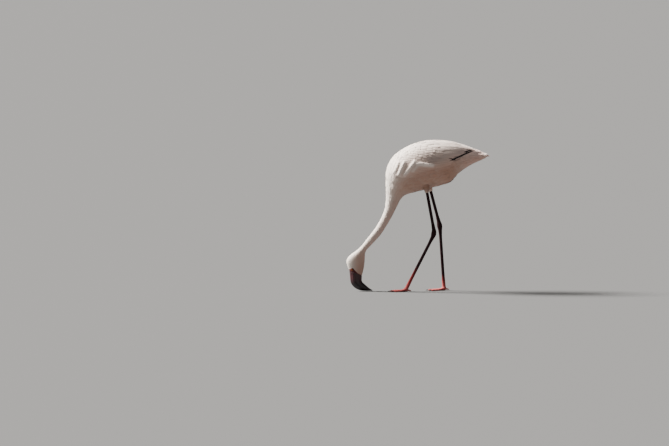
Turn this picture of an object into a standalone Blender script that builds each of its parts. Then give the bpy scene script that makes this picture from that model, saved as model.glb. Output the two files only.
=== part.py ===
"""A lesser flamingo wading with its bill at the water, life size, as a still model's solids.

The bird faces -X, its left side is -Y, and it stands on z = 0 with the origin under its middle.
Lengths are in metres and angles in degrees.
"""

import math
from collections import namedtuple

import bmesh
import bpy
from mathutils import Matrix, Vector

# ---------------------------------------------------------------- driving dimensions
GAP = 0.0004                # left between two pieces that meet
TIBIA = 0.200               # knee to ankle
TARSUS = 0.208              # ankle to foot
MIDDLE_TOE = 0.053          # foot joint to the root of the middle claw
EYE_RADIUS = 0.0055
BODY_SIDES = 24             # faces round the head, neck, trunk and tail
BILL_SIDES = 6              # faces along each half of a bill section's arc
LEG_SIDES = 12
TOE_SIDES = 8

# A rib is one section of the body: where it meets the back's line and the belly's line in the side
# view, as (x, z), and half its width. The ribs fan round the bend where the neck leaves the breast.
Rib = namedtuple("Rib", "back belly half_width")
BODY = {
    "bill_base": Rib((-0.2294, 0.0697), (-0.1868, 0.0520), 0.0118),
    "eye": Rib((-0.2350, 0.0825), (-0.1810, 0.0740), 0.0158),
    "crown": Rib((-0.2386, 0.0974), (-0.1780, 0.0955), 0.0178),
    "hind_crown": Rib((-0.2334, 0.1118), (-0.1770, 0.1110), 0.0172),
    "nape": Rib((-0.2212, 0.1240), (-0.1764, 0.1216), 0.0150),
    "throat": Rib((-0.2068, 0.1346), (-0.1744, 0.1292), 0.0128),
    "neck_top": Rib((-0.1918, 0.1478), (-0.1698, 0.1378), 0.0115),
    "neck_second": Rib((-0.1665, 0.1795), (-0.1462, 0.1625), 0.0125),
    "neck_third": Rib((-0.1440, 0.2090), (-0.1228, 0.1892), 0.0138),
    "neck_fourth": Rib((-0.1250, 0.2420), (-0.0962, 0.2312), 0.0150),
    "neck_fifth": Rib((-0.1130, 0.2735), (-0.0772, 0.2665), 0.0172),
    "neck_base": Rib((-0.1082, 0.3070), (-0.0610, 0.3000), 0.0220),
    "breast": Rib((-0.1094, 0.3440), (-0.0450, 0.3165), 0.0312),
    "fore_breast": Rib((-0.1094, 0.3815), (-0.0205, 0.3255), 0.0410),
    "shoulder": Rib((-0.1010, 0.4180), (0.0030, 0.3315), 0.0490),
    "fore_back": Rib((-0.0815, 0.4485), (0.0235, 0.3375), 0.0540),
    "mantle": Rib((-0.0515, 0.4715), (0.0440, 0.3430), 0.0568),
    "mid_back": Rib((-0.0130, 0.4895), (0.0660, 0.3485), 0.0578),
    "back": Rib((0.0295, 0.4975), (0.0885, 0.3550), 0.0568),
    "hind_back": Rib((0.0720, 0.4972), (0.1080, 0.3670), 0.0526),
    "rump": Rib((0.1140, 0.4920), (0.1290, 0.3865), 0.0444),
    "tail_base": Rib((0.1515, 0.4810), (0.1550, 0.4075), 0.0330),
    "tail_coverts": Rib((0.1845, 0.4700), (0.1815, 0.4230), 0.0262),
    "tail_middle": Rib((0.2145, 0.4602), (0.2120, 0.4365), 0.0222),
    "tail_tip": Rib((0.2384, 0.4515), (0.2378, 0.4460), 0.0170),
}
STATION = {name: index for index, name in enumerate(BODY)}

# The folded wing lies on the trunk. At each station it runs from one angle down from the back to
# another, and stands so far off the trunk.
WingSection = namedtuple("WingSection", "station top bottom thickness")
WING = [
    WingSection(STATION["shoulder"] - 0.45, 46, 74, 0.0024),
    WingSection(STATION["shoulder"], 41, 84, 0.0050),
    WingSection(STATION["fore_back"], 33, 93, 0.0080),
    WingSection(STATION["mantle"], 25, 97, 0.0092),
    WingSection(STATION["mid_back"], 17, 99, 0.0096),
    WingSection(STATION["back"], 11, 100, 0.0092),
    WingSection(STATION["hind_back"], 8, 100, 0.0082),
    WingSection(STATION["rump"], 6, 95, 0.0068),
    WingSection(STATION["tail_base"], 6, 76, 0.0048),
    WingSection(STATION["tail_coverts"], 8, 56, 0.0028),
    WingSection(STATION["tail_coverts"] + 0.7, 14, 40, 0.0018),
]
WING_EDGE_SHARE = 0.30      # a wing's edge, as a share of its full thickness there
WING_CLEARANCE = 0.0010     # between the faceted wing and the faceted trunk

# A bill section runs from the culmen to the underside; the gape parts it at a share of that depth.
BillSection = namedtuple("BillSection", "culmen under half_width gape")
BILL = [
    BillSection((-0.2292, 0.0688), (-0.1870, 0.0510), 0.0116, 0.30),
    BillSection((-0.2273, 0.0545), (-0.1875, 0.0425), 0.0118, 0.29),
    BillSection((-0.2262, 0.0405), (-0.1874, 0.0348), 0.0120, 0.29),
    BillSection((-0.2236, 0.0268), (-0.1848, 0.0290), 0.0117, 0.32),
    BillSection((-0.2158, 0.0155), (-0.1790, 0.0238), 0.0108, 0.38),
    BillSection((-0.2048, 0.0070), (-0.1712, 0.0168), 0.0093, 0.46),
    BillSection((-0.1902, 0.0024), (-0.1622, 0.0096), 0.0070, 0.55),
    BillSection((-0.1732, 0.0013), (-0.1550, 0.0050), 0.0045, 0.65),
    BillSection((-0.1545, 0.0012), (-0.1508, 0.0029), 0.0022, 0.74),
]

EYE_PLACE = Vector((-0.2195, 0.0068, 0.0712))

# Each leg: its knee inside the trunk, where along X its foot joint stands, which way the foot
# turns, and how far from the knee the feathered cuff ends.
Leg = namedtuple("Leg", "side knee_x knee_z foot_x heading cuff")
LEGS = {
    "left": Leg(-1, 0.0166, 0.3900, -0.0415, 3.0, 0.056),
    "right": Leg(1, 0.0200, 0.4087, 0.0850, -2.0, 0.076),
}
KNEE_OFFSET = 0.030
FOOT_OFFSET = 0.025
FOOT_JOINT_HEIGHT = 0.0078
FOOT_JOINT_RADIUS = 0.0076
CUFF_LENGTH = 0.050
CUFF_RADII = (0.0195, 0.0072)
ANKLE_BEND = 0.014          # how far from the ankle the leg starts to round its bend
ANKLE_SWELL = 0.015         # how far from the ankle the swelling runs
FOOT_FLARE = 0.022

# The bare leg's half widths: all along it, added at the ankle, and added at the foot.
LegWidth = namedtuple("LegWidth", "plain ankle foot")
LEG_FORE = LegWidth(0.0049, 0.0037, 0.0016)
LEG_ACROSS = LegWidth(0.0042, 0.0032, 0.0019)

Toe = namedtuple("Toe", "name angle length radius")
TOES = [
    Toe("inner", 31, 0.82 * MIDDLE_TOE, 0.0040),
    Toe("middle", 1, MIDDLE_TOE, 0.0043),
    Toe("outer", -29, 0.93 * MIDDLE_TOE, 0.0041),
]
TOE_REST = 0.80             # a lying toe's middle above the ground, as a share of its radius
TOE_FALL = 0.011            # how far from the foot joint a toe comes down to the ground
WEB_HEIGHTS = (0.0008, 0.0026)
WEB_REACH = 0.90            # how far along each toe the web runs
WEB_NOTCH = 0.74            # its edge's nearest point to the foot joint, as a share of that
CLAW_LENGTH = 0.0075
CLAW_WIDTH = 0.62           # a claw's root, as a share of the toe's end
CLAW_LIFT = 0.0006          # a claw's root above the ground

# The small hind toe: each point's distance behind the foot joint, depth below it, and radius.
HIND_TOE = [
    (0.0000, 0.0030, 0.0028),
    (0.0060, 0.0026, 0.0026),
    (0.0120, 0.0030, 0.0023),
    (0.0160, 0.0044, 0.0017),
    (0.0175, 0.0054, 0.0009),
]
HIND_TOE_TURN = 166         # from the middle toe, in degrees
LOWER_BILL_SHORT = 0.35     # the lower bill ends this much of a section before the upper one

PLUMAGE = (0.86, 0.80, 0.75)
REAR_PLUMAGE = (0.86, 0.70, 0.66)
BILL_MAROON = (0.045, 0.010, 0.016)
LEG_RED = (0.16, 0.025, 0.030)
FOOT_RED = (0.40, 0.070, 0.065)
CLAW_BLACK = (0.02, 0.015, 0.015)
EYE_ORANGE = (0.75, 0.22, 0.04)


# ---------------------------------------------------------------- shapes
def spline(values, u):
    """The value at u along a smooth curve that passes through values at u = 0, 1, 2 and so on."""
    last = len(values) - 1
    i = min(max(int(math.floor(u)), 0), last - 1)
    t = u - i
    b, c = values[i], values[i + 1]
    a = values[i - 1] if i else 2 * b - c
    d = values[i + 2] if i + 2 <= last else 2 * c - b
    return b + 0.5 * t * (c - a + t * (2 * a - 5 * b + 4 * c - d + t * (3 * (b - c) + d - a)))


def side_point(pair):
    """An (x, z) of the side view as a point of the middle plane."""
    return Vector((pair[0], 0.0, pair[1]))


BACK_LINE = [side_point(rib.back) for rib in BODY.values()]
BELLY_LINE = [side_point(rib.belly) for rib in BODY.values()]
HALF_WIDTHS = [rib.half_width for rib in BODY.values()]


def body_point(u, angle, out=0.0):
    """A point of the body's surface at station u, at an angle down from the back, moved out."""
    back, belly = spline(BACK_LINE, u), spline(BELLY_LINE, u)
    half_depth = (back - belly).length / 2
    up = (back - belly).normalized()
    across = Vector((0.0, spline(HALF_WIDTHS, u), 0.0))
    c, s = math.cos(math.radians(angle)), math.sin(math.radians(angle))
    normal = (up * (c / half_depth) + Vector((0.0, s / across.y, 0.0))).normalized()
    return (back + belly) / 2 + up * half_depth * c + across * s + normal * out


def ring_gap(u):
    """Half a gap, as a step along the stations."""
    step = 0.01
    middle = [(spline(BACK_LINE, v) + spline(BELLY_LINE, v)) / 2 for v in (u - step, u + step)]
    return GAP * 1.25 / 2 * (2 * step) / (middle[1] - middle[0]).length


def new_object(name, mesh, color, roughness=0.6):
    """A named object with its own material, in the bird's collection."""
    material = bpy.data.materials.new(name)
    material.use_nodes = True
    material.diffuse_color = (*color, 1.0)
    surface = material.node_tree.nodes["Principled BSDF"]
    surface.inputs["Base Color"].default_value = (*color, 1.0)
    surface.inputs["Roughness"].default_value = roughness
    surface.inputs["Metallic"].default_value = 0.0
    mesh.materials.append(material)
    obj = bpy.data.objects.new(name, mesh)
    BIRD.objects.link(obj)
    return obj


def finish_mesh(shape, name):
    """The bmesh as a mesh whose faces point out, shaded smooth but for its sharp edges."""
    bmesh.ops.recalc_face_normals(shape, faces=shape.faces)
    mesh = bpy.data.meshes.new(name)
    shape.to_mesh(mesh)
    shape.free()
    mesh.shade_smooth()
    mesh.set_sharp_from_angle(angle=math.radians(50))
    return mesh


def loft(name, rings):
    """A closed mesh through rings of equally many points, with a flat cap at each end."""
    shape = bmesh.new()
    rows = [[shape.verts.new(point) for point in ring] for ring in rings]
    count = len(rows[0])
    for row, following in zip(rows, rows[1:]):
        for k in range(count):
            shape.faces.new((row[k], row[(k + 1) % count],
                             following[(k + 1) % count], following[k]))
    shape.faces.new(rows[0])
    shape.faces.new(reversed(rows[-1]))
    return finish_mesh(shape, name)


def steps(start, end, count):
    """Evenly spaced numbers from start to end."""
    return [start + (end - start) * k / (count - 1) for k in range(count)]


def body_rings(start, end, count, out=0.0):
    """Rings of the body's surface from one station to another."""
    turn = 360 / BODY_SIDES
    return [[body_point(u, turn * k, out) for k in range(BODY_SIDES)]
            for u in steps(start, end, count)]


def tube_rings(path, fore_radii, side_radii, sides):
    """Rings round a path, as wide fore and aft and from side to side as the radii say."""
    rings = []
    for k, centre in enumerate(path):
        ahead = path[min(k + 1, len(path) - 1)] - path[max(k - 1, 0)]
        side = ahead.cross(Vector((1, 0, 0)) if abs(ahead.normalized().x) < 0.8
                           else Vector((0, 0, 1))).normalized()
        fore = side.cross(ahead).normalized()
        rings.append([centre + fore * fore_radii[k] * math.cos(2 * math.pi * j / sides)
                      + side * side_radii[k] * math.sin(2 * math.pi * j / sides)
                      for j in range(sides)])
    return rings


def cutter(name, mesh):
    """An object that only cuts others."""
    obj = bpy.data.objects.new(name, mesh)
    CUTTERS.objects.link(obj)
    obj.hide_render = True
    obj.display_type = "WIRE"
    return obj


def boolean(obj, other, operation):
    """Cuts other out of obj, or joins it to obj."""
    modifier = obj.modifiers.new(operation.lower() + "_" + other.name, "BOOLEAN")
    modifier.object = other
    modifier.operation = operation
    modifier.solver = "EXACT"


def bump(x, centre, width):
    """A smooth hump that is 1 at centre and fades over width."""
    return math.exp(-((x - centre) / width) ** 2)


# ---------------------------------------------------------------- head, neck, trunk and tail
def make_body_length(name, first, last, rings, color, end_trim=True):
    """One length of the body between two stations, half a gap short of each."""
    start = STATION[first] + ring_gap(STATION[first])
    end = STATION[last] - (ring_gap(STATION[last]) if end_trim else 0)
    return new_object(name, loft(name, body_rings(start, end, rings)), color)


def make_head(eye_places):
    """The head, with a socket for each eye."""
    head = make_body_length("head", "bill_base", "throat", 13, PLUMAGE)
    for side, place in eye_places.items():
        socket = ball("socket_" + side, place, EYE_RADIUS + GAP)
        boolean(head, cutter("socket_" + side, socket), "DIFFERENCE")


def ball(name, place, radius, segments=14, rings=8):
    """A round ball."""
    shape = bmesh.new()
    bmesh.ops.create_uvsphere(shape, u_segments=segments, v_segments=rings, radius=radius,
                              matrix=Matrix.Translation(place))
    return finish_mesh(shape, name)


def make_eyes():
    """Both eyes; returns where they are."""
    places = {}
    for side, sign in (("left", -1), ("right", 1)):
        places[side] = Vector((EYE_PLACE.x, sign * EYE_PLACE.y, EYE_PLACE.z))
        new_object("eye_" + side, ball("eye_" + side, places[side], EYE_RADIUS), EYE_ORANGE, 0.1)
    return places


def make_wing(name, side):
    """A folded wing: a shell from its top edge to its bottom edge, thin at the edges."""
    columns, rows = 19, 8
    outer, inner = [], []
    for along in steps(0, len(WING) - 1, columns):
        station, top, bottom, thickness = (
            spline([getattr(section, field) for section in WING], along)
            for field in WingSection._fields)
        outer_row, inner_row = [], []
        for share in steps(0, 1, rows):
            angle = top + (bottom - top) * share
            swell = WING_EDGE_SHARE + (1 - WING_EDGE_SHARE) * math.sin(math.pi * share) ** 0.7
            outer_row.append(body_point(
                station, side * angle, WING_CLEARANCE + thickness * swell))
            inner_row.append(body_point(station, side * angle, WING_CLEARANCE))
        outer.append(outer_row)
        inner.append(inner_row)
    rings = [row + below[::-1] for row, below in zip(outer, inner)]
    new_object(name, loft(name, rings), PLUMAGE)


# ---------------------------------------------------------------- bill
def bill_arc(along, half):
    """One half of a bill section: the arc above or below the gape, a little clear of it."""
    culmen = spline([side_point(s.culmen) for s in BILL], along)
    under = spline([side_point(s.under) for s in BILL], along)
    width = spline([s.half_width for s in BILL], along)
    gape = spline([s.gape for s in BILL], along)
    depth = (culmen - under).length
    clear = GAP * 0.75 / depth
    share = gape - clear if half == "upper" else gape + clear
    limit = math.acos(1 - 2 * share)
    start, end = (-limit, limit) if half == "upper" else (limit, 2 * math.pi - limit)
    centre, up = (culmen + under) / 2, (culmen - under) / 2
    return [centre + up * math.cos(a) + Vector((0, width * math.sin(a), 0))
            for a in steps(start, end, 2 * BILL_SIDES + 1)]


def make_bill():
    """The upper and the lower bill, which meet along the gape."""
    tip = len(BILL) - 1
    for half, length in (("upper", tip), ("lower", tip - LOWER_BILL_SHORT)):
        name = "bill_" + half
        rings = [bill_arc(u, half) for u in steps(ring_gap(0) * 0.8, length, 13)]
        new_object(name, loft(name, rings), BILL_MAROON, 0.35)


# ---------------------------------------------------------------- legs
def leg_joints(leg):
    """Knee, ankle and foot joint, with the ankle bent back so that both bones keep their length."""
    knee = Vector((leg.knee_x, leg.side * KNEE_OFFSET, leg.knee_z))
    foot = Vector((leg.foot_x, leg.side * FOOT_OFFSET, FOOT_JOINT_HEIGHT))
    span = foot - knee
    along = (TIBIA ** 2 + span.length ** 2 - TARSUS ** 2) / (2 * span.length)
    back = math.sqrt(TIBIA ** 2 - along ** 2)
    axis = span.normalized()
    behind = (Vector((1, 0, 0)) - axis * axis.x).normalized()
    return knee, knee + axis * along + behind * back, foot


def bent_path(start, corner, end, bend, spacing):
    """Points from start to end that round the corner over the length bend on each side."""
    enter = corner + (start - corner).normalized() * bend
    leave = corner + (end - corner).normalized() * bend
    first = steps(0, 1, max(2, round((enter - start).length / spacing)))
    second = steps(0, 1, max(2, round((end - leave).length / spacing)))
    curve = [0.2, 0.4, 0.6, 0.8]
    return ([start.lerp(enter, t) for t in first]
            + [enter.lerp(corner, t).lerp(corner.lerp(leave, t), t) for t in curve]
            + [leave.lerp(end, t) for t in second])


def leg_radii(path, ankle, foot):
    """The bare leg's radii along its path, thick at the ankle and flared at the foot."""
    radii = []
    for width in (LEG_FORE, LEG_ACROSS):
        radii.append([width.plain
                      + width.ankle * bump((point - ankle).length, 0, ANKLE_SWELL)
                      + width.foot * bump((point - foot).length, 0, FOOT_FLARE)
                      for point in path])
    return radii


def make_leg(name, leg, trunk_cutter):
    """A leg's feathered cuff, bare shank and tarsus; returns its foot joint."""
    knee, ankle, foot = leg_joints(leg)
    down = (ankle - knee).normalized()
    cuff_path = [knee + down * s for s in steps(leg.cuff - CUFF_LENGTH, leg.cuff, 7)]
    wide, narrow = CUFF_RADII
    cuff_radii = [wide - (wide - narrow) * math.sin(math.pi / 2 * t) ** 1.5
                  for t in steps(0, 1, 7)]
    cuff = new_object("thigh_" + name, loft("thigh_" + name, tube_rings(
        cuff_path, cuff_radii, cuff_radii, LEG_SIDES + 4)), PLUMAGE)
    boolean(cuff, trunk_cutter, "DIFFERENCE")

    path = bent_path(knee + down * (leg.cuff + GAP), ankle, foot, ANKLE_BEND, 0.018)
    fore, side = leg_radii(path, ankle, foot)
    rings = tube_rings(path, fore, side, LEG_SIDES)
    middle = min(range(len(path)), key=lambda k: (path[k] - ankle).length)
    cut = (path[middle + 1] - path[middle - 1]).normalized() * (GAP / 2)
    shank_end = [point - cut for point in rings[middle]]
    tarsus_start = [point + cut for point in rings[middle]]
    new_object("shank_" + name, loft("shank_" + name, rings[:middle] + [shank_end]),
               LEG_RED, 0.45)
    tarsus = new_object("tarsus_" + name, loft(
        "tarsus_" + name, [tarsus_start] + rings[middle + 1:]), LEG_RED, 0.45)
    joint = ball("joint_" + name, foot, FOOT_JOINT_RADIUS + GAP)
    boolean(tarsus, cutter("joint_cutter_" + name, joint), "DIFFERENCE")
    return foot


# ---------------------------------------------------------------- feet
def toe_direction(leg, angle):
    """Which way a toe points, level with the ground."""
    turn = math.radians(leg.side * angle + leg.heading)
    return Vector((-math.cos(turn), math.sin(turn), 0.0))


def toe_centre(foot, direction, distance, toe):
    """The middle of a toe at a distance from the foot joint: it comes down and then lies flat."""
    share = distance / toe.length
    resting = toe_radius(toe, share) * TOE_REST
    lift = (FOOT_JOINT_HEIGHT - resting) * bump(distance, 0, TOE_FALL)
    return Vector((foot.x, foot.y, resting + lift)) + direction * distance


def toe_radius(toe, share):
    """A toe's radius: it tapers, and swells at its three pads."""
    pads = sum(bump(share, middle, 0.09) for middle in (0.38, 0.66, 0.90))
    return toe.radius * (1 - 0.42 * share) * (0.90 + 0.16 * pads)


def make_toe(name, foot, direction, toe):
    """One front toe."""
    distances = steps(0, toe.length, 10)
    path = [toe_centre(foot, direction, d, toe) for d in distances]
    radii = [toe_radius(toe, d / toe.length) for d in distances]
    radii[-1] *= 0.72
    return loft(name, tube_rings(path, radii, radii, TOE_SIDES))


def make_web(name, leg, foot):
    """The webs between the front toes, with a hollow outer edge between each two."""
    corners = [(toe.angle, toe.length * WEB_REACH) for toe in TOES]
    outline = []
    for (angle, reach), (next_angle, next_reach) in zip(corners, corners[1:]):
        for share in steps(0, 1, 9)[:-1]:
            hollow = 1 - (1 - WEB_NOTCH) * math.sin(math.pi * share) ** 0.75
            distance = (reach + (next_reach - reach) * share) * hollow
            turn = angle + (next_angle - angle) * share
            outline.append(toe_direction(leg, turn) * distance)
    outline.append(toe_direction(leg, corners[-1][0]) * corners[-1][1])
    low, high = WEB_HEIGHTS
    centre = Vector((foot.x, foot.y, low))
    shape = bmesh.new()
    face = shape.faces.new([shape.verts.new(centre + p) for p in [Vector()] + outline])
    grown = bmesh.ops.extrude_face_region(shape, geom=[face])
    raised = [v for v in grown["geom"] if isinstance(v, bmesh.types.BMVert)]
    bmesh.ops.translate(shape, verts=raised, vec=(0, 0, high - low))
    return finish_mesh(shape, name)


def make_claw(name, root, direction, radius):
    """A blunt nail that tapers and bends down towards the ground."""
    path, radii = [], []
    for share in steps(0, 1, 5):
        size = radius * (1 - 0.78 * share ** 1.5)
        path.append(root + direction * (CLAW_LENGTH * share)
                    + Vector((0, 0, (size - radius) * 0.75)))
        radii.append(size)
    flat = [0.85 * r for r in radii]
    new_object(name, loft(name, tube_rings(path, flat, radii, TOE_SIDES)), CLAW_BLACK, 0.4)


def make_foot(name, leg, foot):
    """A foot with three webbed toes and a small hind toe, flat where it stands, and its claws."""
    knuckle = new_object("foot_" + name, ball("foot_" + name, foot, FOOT_JOINT_RADIUS),
                         FOOT_RED, 0.5)
    for toe in TOES:
        direction = toe_direction(leg, toe.angle)
        label = "_".join(("toe", toe.name, name))
        boolean(knuckle, cutter(label, make_toe(label, foot, direction, toe)), "UNION")
        radius = toe_radius(toe, 1.0) * CLAW_WIDTH
        root = foot + direction * (toe.length + GAP)
        root.z = CLAW_LIFT + radius
        make_claw("_".join(("claw", toe.name, name)), root, direction, radius)
    boolean(knuckle, cutter("web_" + name, make_web("web_" + name, leg, foot)), "UNION")
    behind = toe_direction(leg, HIND_TOE_TURN)
    path = [foot + behind * back - Vector((0, 0, down)) for back, down, _ in HIND_TOE]
    radii = [radius for _, _, radius in HIND_TOE]
    hind = loft("hind_toe_" + name, tube_rings(path, radii, radii, TOE_SIDES))
    boolean(knuckle, cutter("hind_toe_" + name, hind), "UNION")
    slab = bmesh.new()
    bmesh.ops.create_cube(slab, size=0.4, matrix=Matrix.Translation((foot.x, foot.y, -0.2)))
    boolean(knuckle, cutter("ground_" + name, finish_mesh(slab, "ground_" + name)), "DIFFERENCE")


# ---------------------------------------------------------------- the bird
def build():
    """Makes every piece of the bird."""
    make_head(make_eyes())
    make_bill()
    make_body_length("neck_upper", "throat", "neck_third", 10, PLUMAGE)
    make_body_length("neck_middle", "neck_third", "neck_fifth", 8, PLUMAGE)
    make_body_length("neck_lower", "neck_fifth", "breast", 8, PLUMAGE)
    make_body_length("trunk", "breast", "tail_base", 20, PLUMAGE)
    make_body_length("tail", "tail_base", "tail_tip", 8, REAR_PLUMAGE, end_trim=False)
    make_wing("wing_left", -1)
    make_wing("wing_right", 1)
    inflated = body_rings(STATION["breast"], STATION["tail_base"], 20, GAP)
    trunk_cutter = cutter("trunk_cutter", loft("trunk_cutter", inflated))
    for name, leg in LEGS.items():
        make_foot(name, leg, make_leg(name, leg, trunk_cutter))


for old in list(bpy.data.objects):
    bpy.data.objects.remove(old)
BIRD = bpy.data.collections.new("lesser_flamingo")
CUTTERS = bpy.data.collections.new("cutters")
bpy.context.scene.collection.children.link(BIRD)
bpy.context.scene.collection.children.link(CUTTERS)
build()
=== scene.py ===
"""The looks of a lesser flamingo wading with its bill at the water: skin, feathers, bill and legs.

Lengths are in metres and angles in degrees. A place on the body is its distance along the body's
middle line, from the bill's base to the tail's tip, and its angle round that line: 0 on the back,
180 on the belly, and negative on the left side, which faces -Y.
"""
import math

import bmesh
import bpy
import numpy as np
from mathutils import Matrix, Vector
from mathutils.bvhtree import BVHTree


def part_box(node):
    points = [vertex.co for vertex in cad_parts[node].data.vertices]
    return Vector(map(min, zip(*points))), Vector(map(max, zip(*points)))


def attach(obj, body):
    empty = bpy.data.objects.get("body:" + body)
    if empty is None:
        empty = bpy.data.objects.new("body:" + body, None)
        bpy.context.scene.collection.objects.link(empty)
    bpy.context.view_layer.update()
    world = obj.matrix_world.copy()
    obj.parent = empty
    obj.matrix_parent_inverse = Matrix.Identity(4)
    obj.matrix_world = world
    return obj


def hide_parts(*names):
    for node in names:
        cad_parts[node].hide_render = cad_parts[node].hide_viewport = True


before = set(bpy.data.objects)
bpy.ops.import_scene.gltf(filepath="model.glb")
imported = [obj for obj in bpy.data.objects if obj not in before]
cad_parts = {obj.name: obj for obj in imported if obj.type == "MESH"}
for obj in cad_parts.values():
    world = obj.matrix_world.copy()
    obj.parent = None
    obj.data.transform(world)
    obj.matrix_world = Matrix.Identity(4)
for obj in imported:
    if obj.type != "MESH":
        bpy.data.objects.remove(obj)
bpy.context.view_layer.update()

# ---------------------------------------------------------------- view, nodes and colours
CAMERA_RISE = 4.0                   # degrees above level
CAMERA_DISTANCE = 24.6
CAMERA_LENS = 400.0
VIEW_AHEAD = 0.278                  # the view's middle, ahead of the bird's own middle
VIEW_HEIGHT = 0.226
FLOOR_REACH = 120.0
SKY_COLOR = (0.72, 0.71, 0.72)
SKY_STRENGTH = 0.17
# each lamp's turn, strength, softness and colour
LAMPS = {"key": ((-10.0, -47.0, 0.0), 21.0, 18.0, (1.0, 0.965, 0.90)),
         "fill": ((66.0, 20.0, 0.0), 0.17, 60.0, (1.0, 0.94, 0.88))}

BODY_NODES = ("head", "neck_upper", "neck_middle", "neck_lower", "trunk", "tail")
WING_NODES = ("wing_left", "wing_right")
THIGH_NODES = ("thigh_left", "thigh_right")
LEG_NODES = ("shank_", "tarsus_", "foot_")
SIDES = (("left", -1), ("right", 1))

WHITE = (0.88, 0.825, 0.755)
PINK = (0.84, 0.46, 0.42)
# tan of the underside: partly stained plumage, partly painted shade where the body turns away from the
# light
TAN = (0.39, 0.175, 0.105)
# grey of the shade value: each feather's own random tone, a little more along the neck, and painted
# shade in the wing's hollow and along feather edges
SHADE_GREY = (0.30, 0.26, 0.25)
FEATHER_BASE = (0.52, 0.455, 0.405)
WORN_WHITE = (0.62, 0.52, 0.46)
SHAFT_TAN = (0.60, 0.42, 0.33)
QUILL_BLACK = (0.009, 0.007, 0.008)
QUILL_WORN = (0.024, 0.018, 0.019)
MAROON = (0.055, 0.010, 0.014)
FACE_RED = (0.13, 0.022, 0.024)
LID_RED = (0.12, 0.02, 0.022)
EYE_DARK = (0.02, 0.01, 0.01)
EYE_RIM = (0.03, 0.018, 0.015)
PUPIL_BLACK = (0.002, 0.002, 0.002)
IRIS_BROWN = (0.34, 0.060, 0.012)
IRIS_AMBER = (0.60, 0.17, 0.022)
IRIS_EDGE = (0.05, 0.012, 0.008)
BLACK_HORN = (0.011, 0.006, 0.008)
HORN_MAROON = (0.050, 0.007, 0.011)
HORN_BROWN = (0.020, 0.005, 0.008)
CLAW_HORN = (0.02, 0.014, 0.014)
# the leg's own red painted down nearly to black: painted shade
LEG_PAINTED_SHADE = (0.013, 0.006, 0.008)
LEG_CRACK = (0.01, 0.004, 0.005)
LEG_RED = (0.30, 0.036, 0.036)
FOOT_RED = (0.50, 0.115, 0.115)
FLOOR_GREY = (0.108, 0.109, 0.112)

CORNER_GAP = 2e-6                   # corners of the CAD nodes' triangles closer than this are one
TINY = 1e-12                        # keeps a divisor from being nothing


# ---------------------------------------------------------------- meshes
def unit(vectors):
    """The vectors, each one metre long."""
    return vectors / np.maximum(np.linalg.norm(vectors, axis=-1, keepdims=True), TINY)


def flattened(vectors, normal):
    """The vectors without what they have along a direction."""
    return vectors - normal * (vectors * normal).sum(-1, keepdims=True)


def mesh_points(mesh):
    """A mesh's points, as an array."""
    flat = np.empty(len(mesh.vertices) * 3, np.float32)
    mesh.vertices.foreach_get("co", flat)
    return flat.reshape(-1, 3).astype(float)


def mesh_normals(mesh):
    """The directions out of a mesh at its points."""
    flat = np.empty(len(mesh.vertices) * 3, np.float32)
    mesh.vertex_normals.foreach_get("vector", flat)
    return flat.reshape(-1, 3).astype(float)


def cad_points(node):
    """A CAD node's points, each of them once."""
    return np.unique(mesh_points(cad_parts[node].data).round(5), axis=0)


def move_points(mesh, points):
    """Sets a mesh's points."""
    mesh.vertices.foreach_set("co", np.ascontiguousarray(points, np.float32).ravel())
    mesh.update()


def point_mesh(name, points):
    """A mesh of loose points."""
    mesh = bpy.data.meshes.new(name)
    mesh.vertices.add(len(points))
    move_points(mesh, points)
    return mesh


def hold(mesh, **values):
    """Gives a mesh's points their values or directions, each under its name."""
    for key, per_point in values.items():
        per_point = np.ascontiguousarray(per_point, np.float32)
        kind, field = ("FLOAT_VECTOR", "vector") if per_point.ndim > 1 else ("FLOAT", "value")
        mesh.attributes.new(key, kind, "POINT").data.foreach_set(field, per_point.ravel())


def ring_faces(rings, sides, closed=False):
    """Four-sided faces between rings of points; closed joins the last ring to the first."""
    i, j = np.mgrid[:rings - (not closed), :sides]
    after, k = (i + 1) % rings, (j + 1) % sides
    corners = (i * sides + j, i * sides + k, after * sides + k, after * sides + j)
    return np.stack(corners, axis=-1).reshape(-1, 4)


def quad_mesh(name, points, quads, maps=None, values=None):
    """A smooth mesh of four-sided faces with UV maps and per-point values."""
    mesh = point_mesh(name, points)
    corners = np.ascontiguousarray(quads, np.int32).ravel()
    mesh.loops.add(len(corners))
    mesh.loops.foreach_set("vertex_index", corners)
    mesh.polygons.add(len(quads))
    mesh.polygons.foreach_set("loop_start", np.arange(0, len(corners), 4, dtype=np.int32))
    mesh.update(calc_edges=True)
    for key, per_point in (maps or {}).items():
        layer = mesh.uv_layers.new(name=key)
        layer.uv.foreach_set("vector", per_point[corners].astype(np.float32).ravel())
    hold(mesh, **(values or {}))
    mesh.shade_smooth()
    return mesh


def shape_mesh(name, shape):
    """A finished shape as a mesh."""
    mesh = bpy.data.meshes.new(name)
    shape.to_mesh(mesh)
    shape.free()
    return mesh


def face_outwards(mesh):
    """Turns a closed mesh's faces outwards."""
    shape = bmesh.new()
    shape.from_mesh(mesh)
    bmesh.ops.recalc_face_normals(shape, faces=shape.faces)
    if shape.calc_volume(signed=True) < 0:
        bmesh.ops.reverse_faces(shape, faces=shape.faces)
    shape.to_mesh(mesh)
    shape.free()


def closed_tube(rings):
    """A closed mesh through rings of points, with a flat end on each."""
    count, sides = rings.shape[:2]
    ends = [list(range(sides))[::-1], list(range((count - 1) * sides, count * sides))]
    mesh = bpy.data.meshes.new("tube")
    mesh.from_pydata(rings.reshape(-1, 3).tolist(), [], ring_faces(count, sides).tolist() + ends)
    face_outwards(mesh)
    return mesh


def merged_copy(*nodes):
    """CAD nodes copied into one shape, with their loose triangles joined at the corners."""
    shape = bmesh.new()
    for node in nodes:
        shape.from_mesh(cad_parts[node].data)
    bmesh.ops.remove_doubles(shape, verts=shape.verts, dist=CORNER_GAP)
    bmesh.ops.recalc_face_normals(shape, faces=shape.faces)
    return shape


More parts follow.
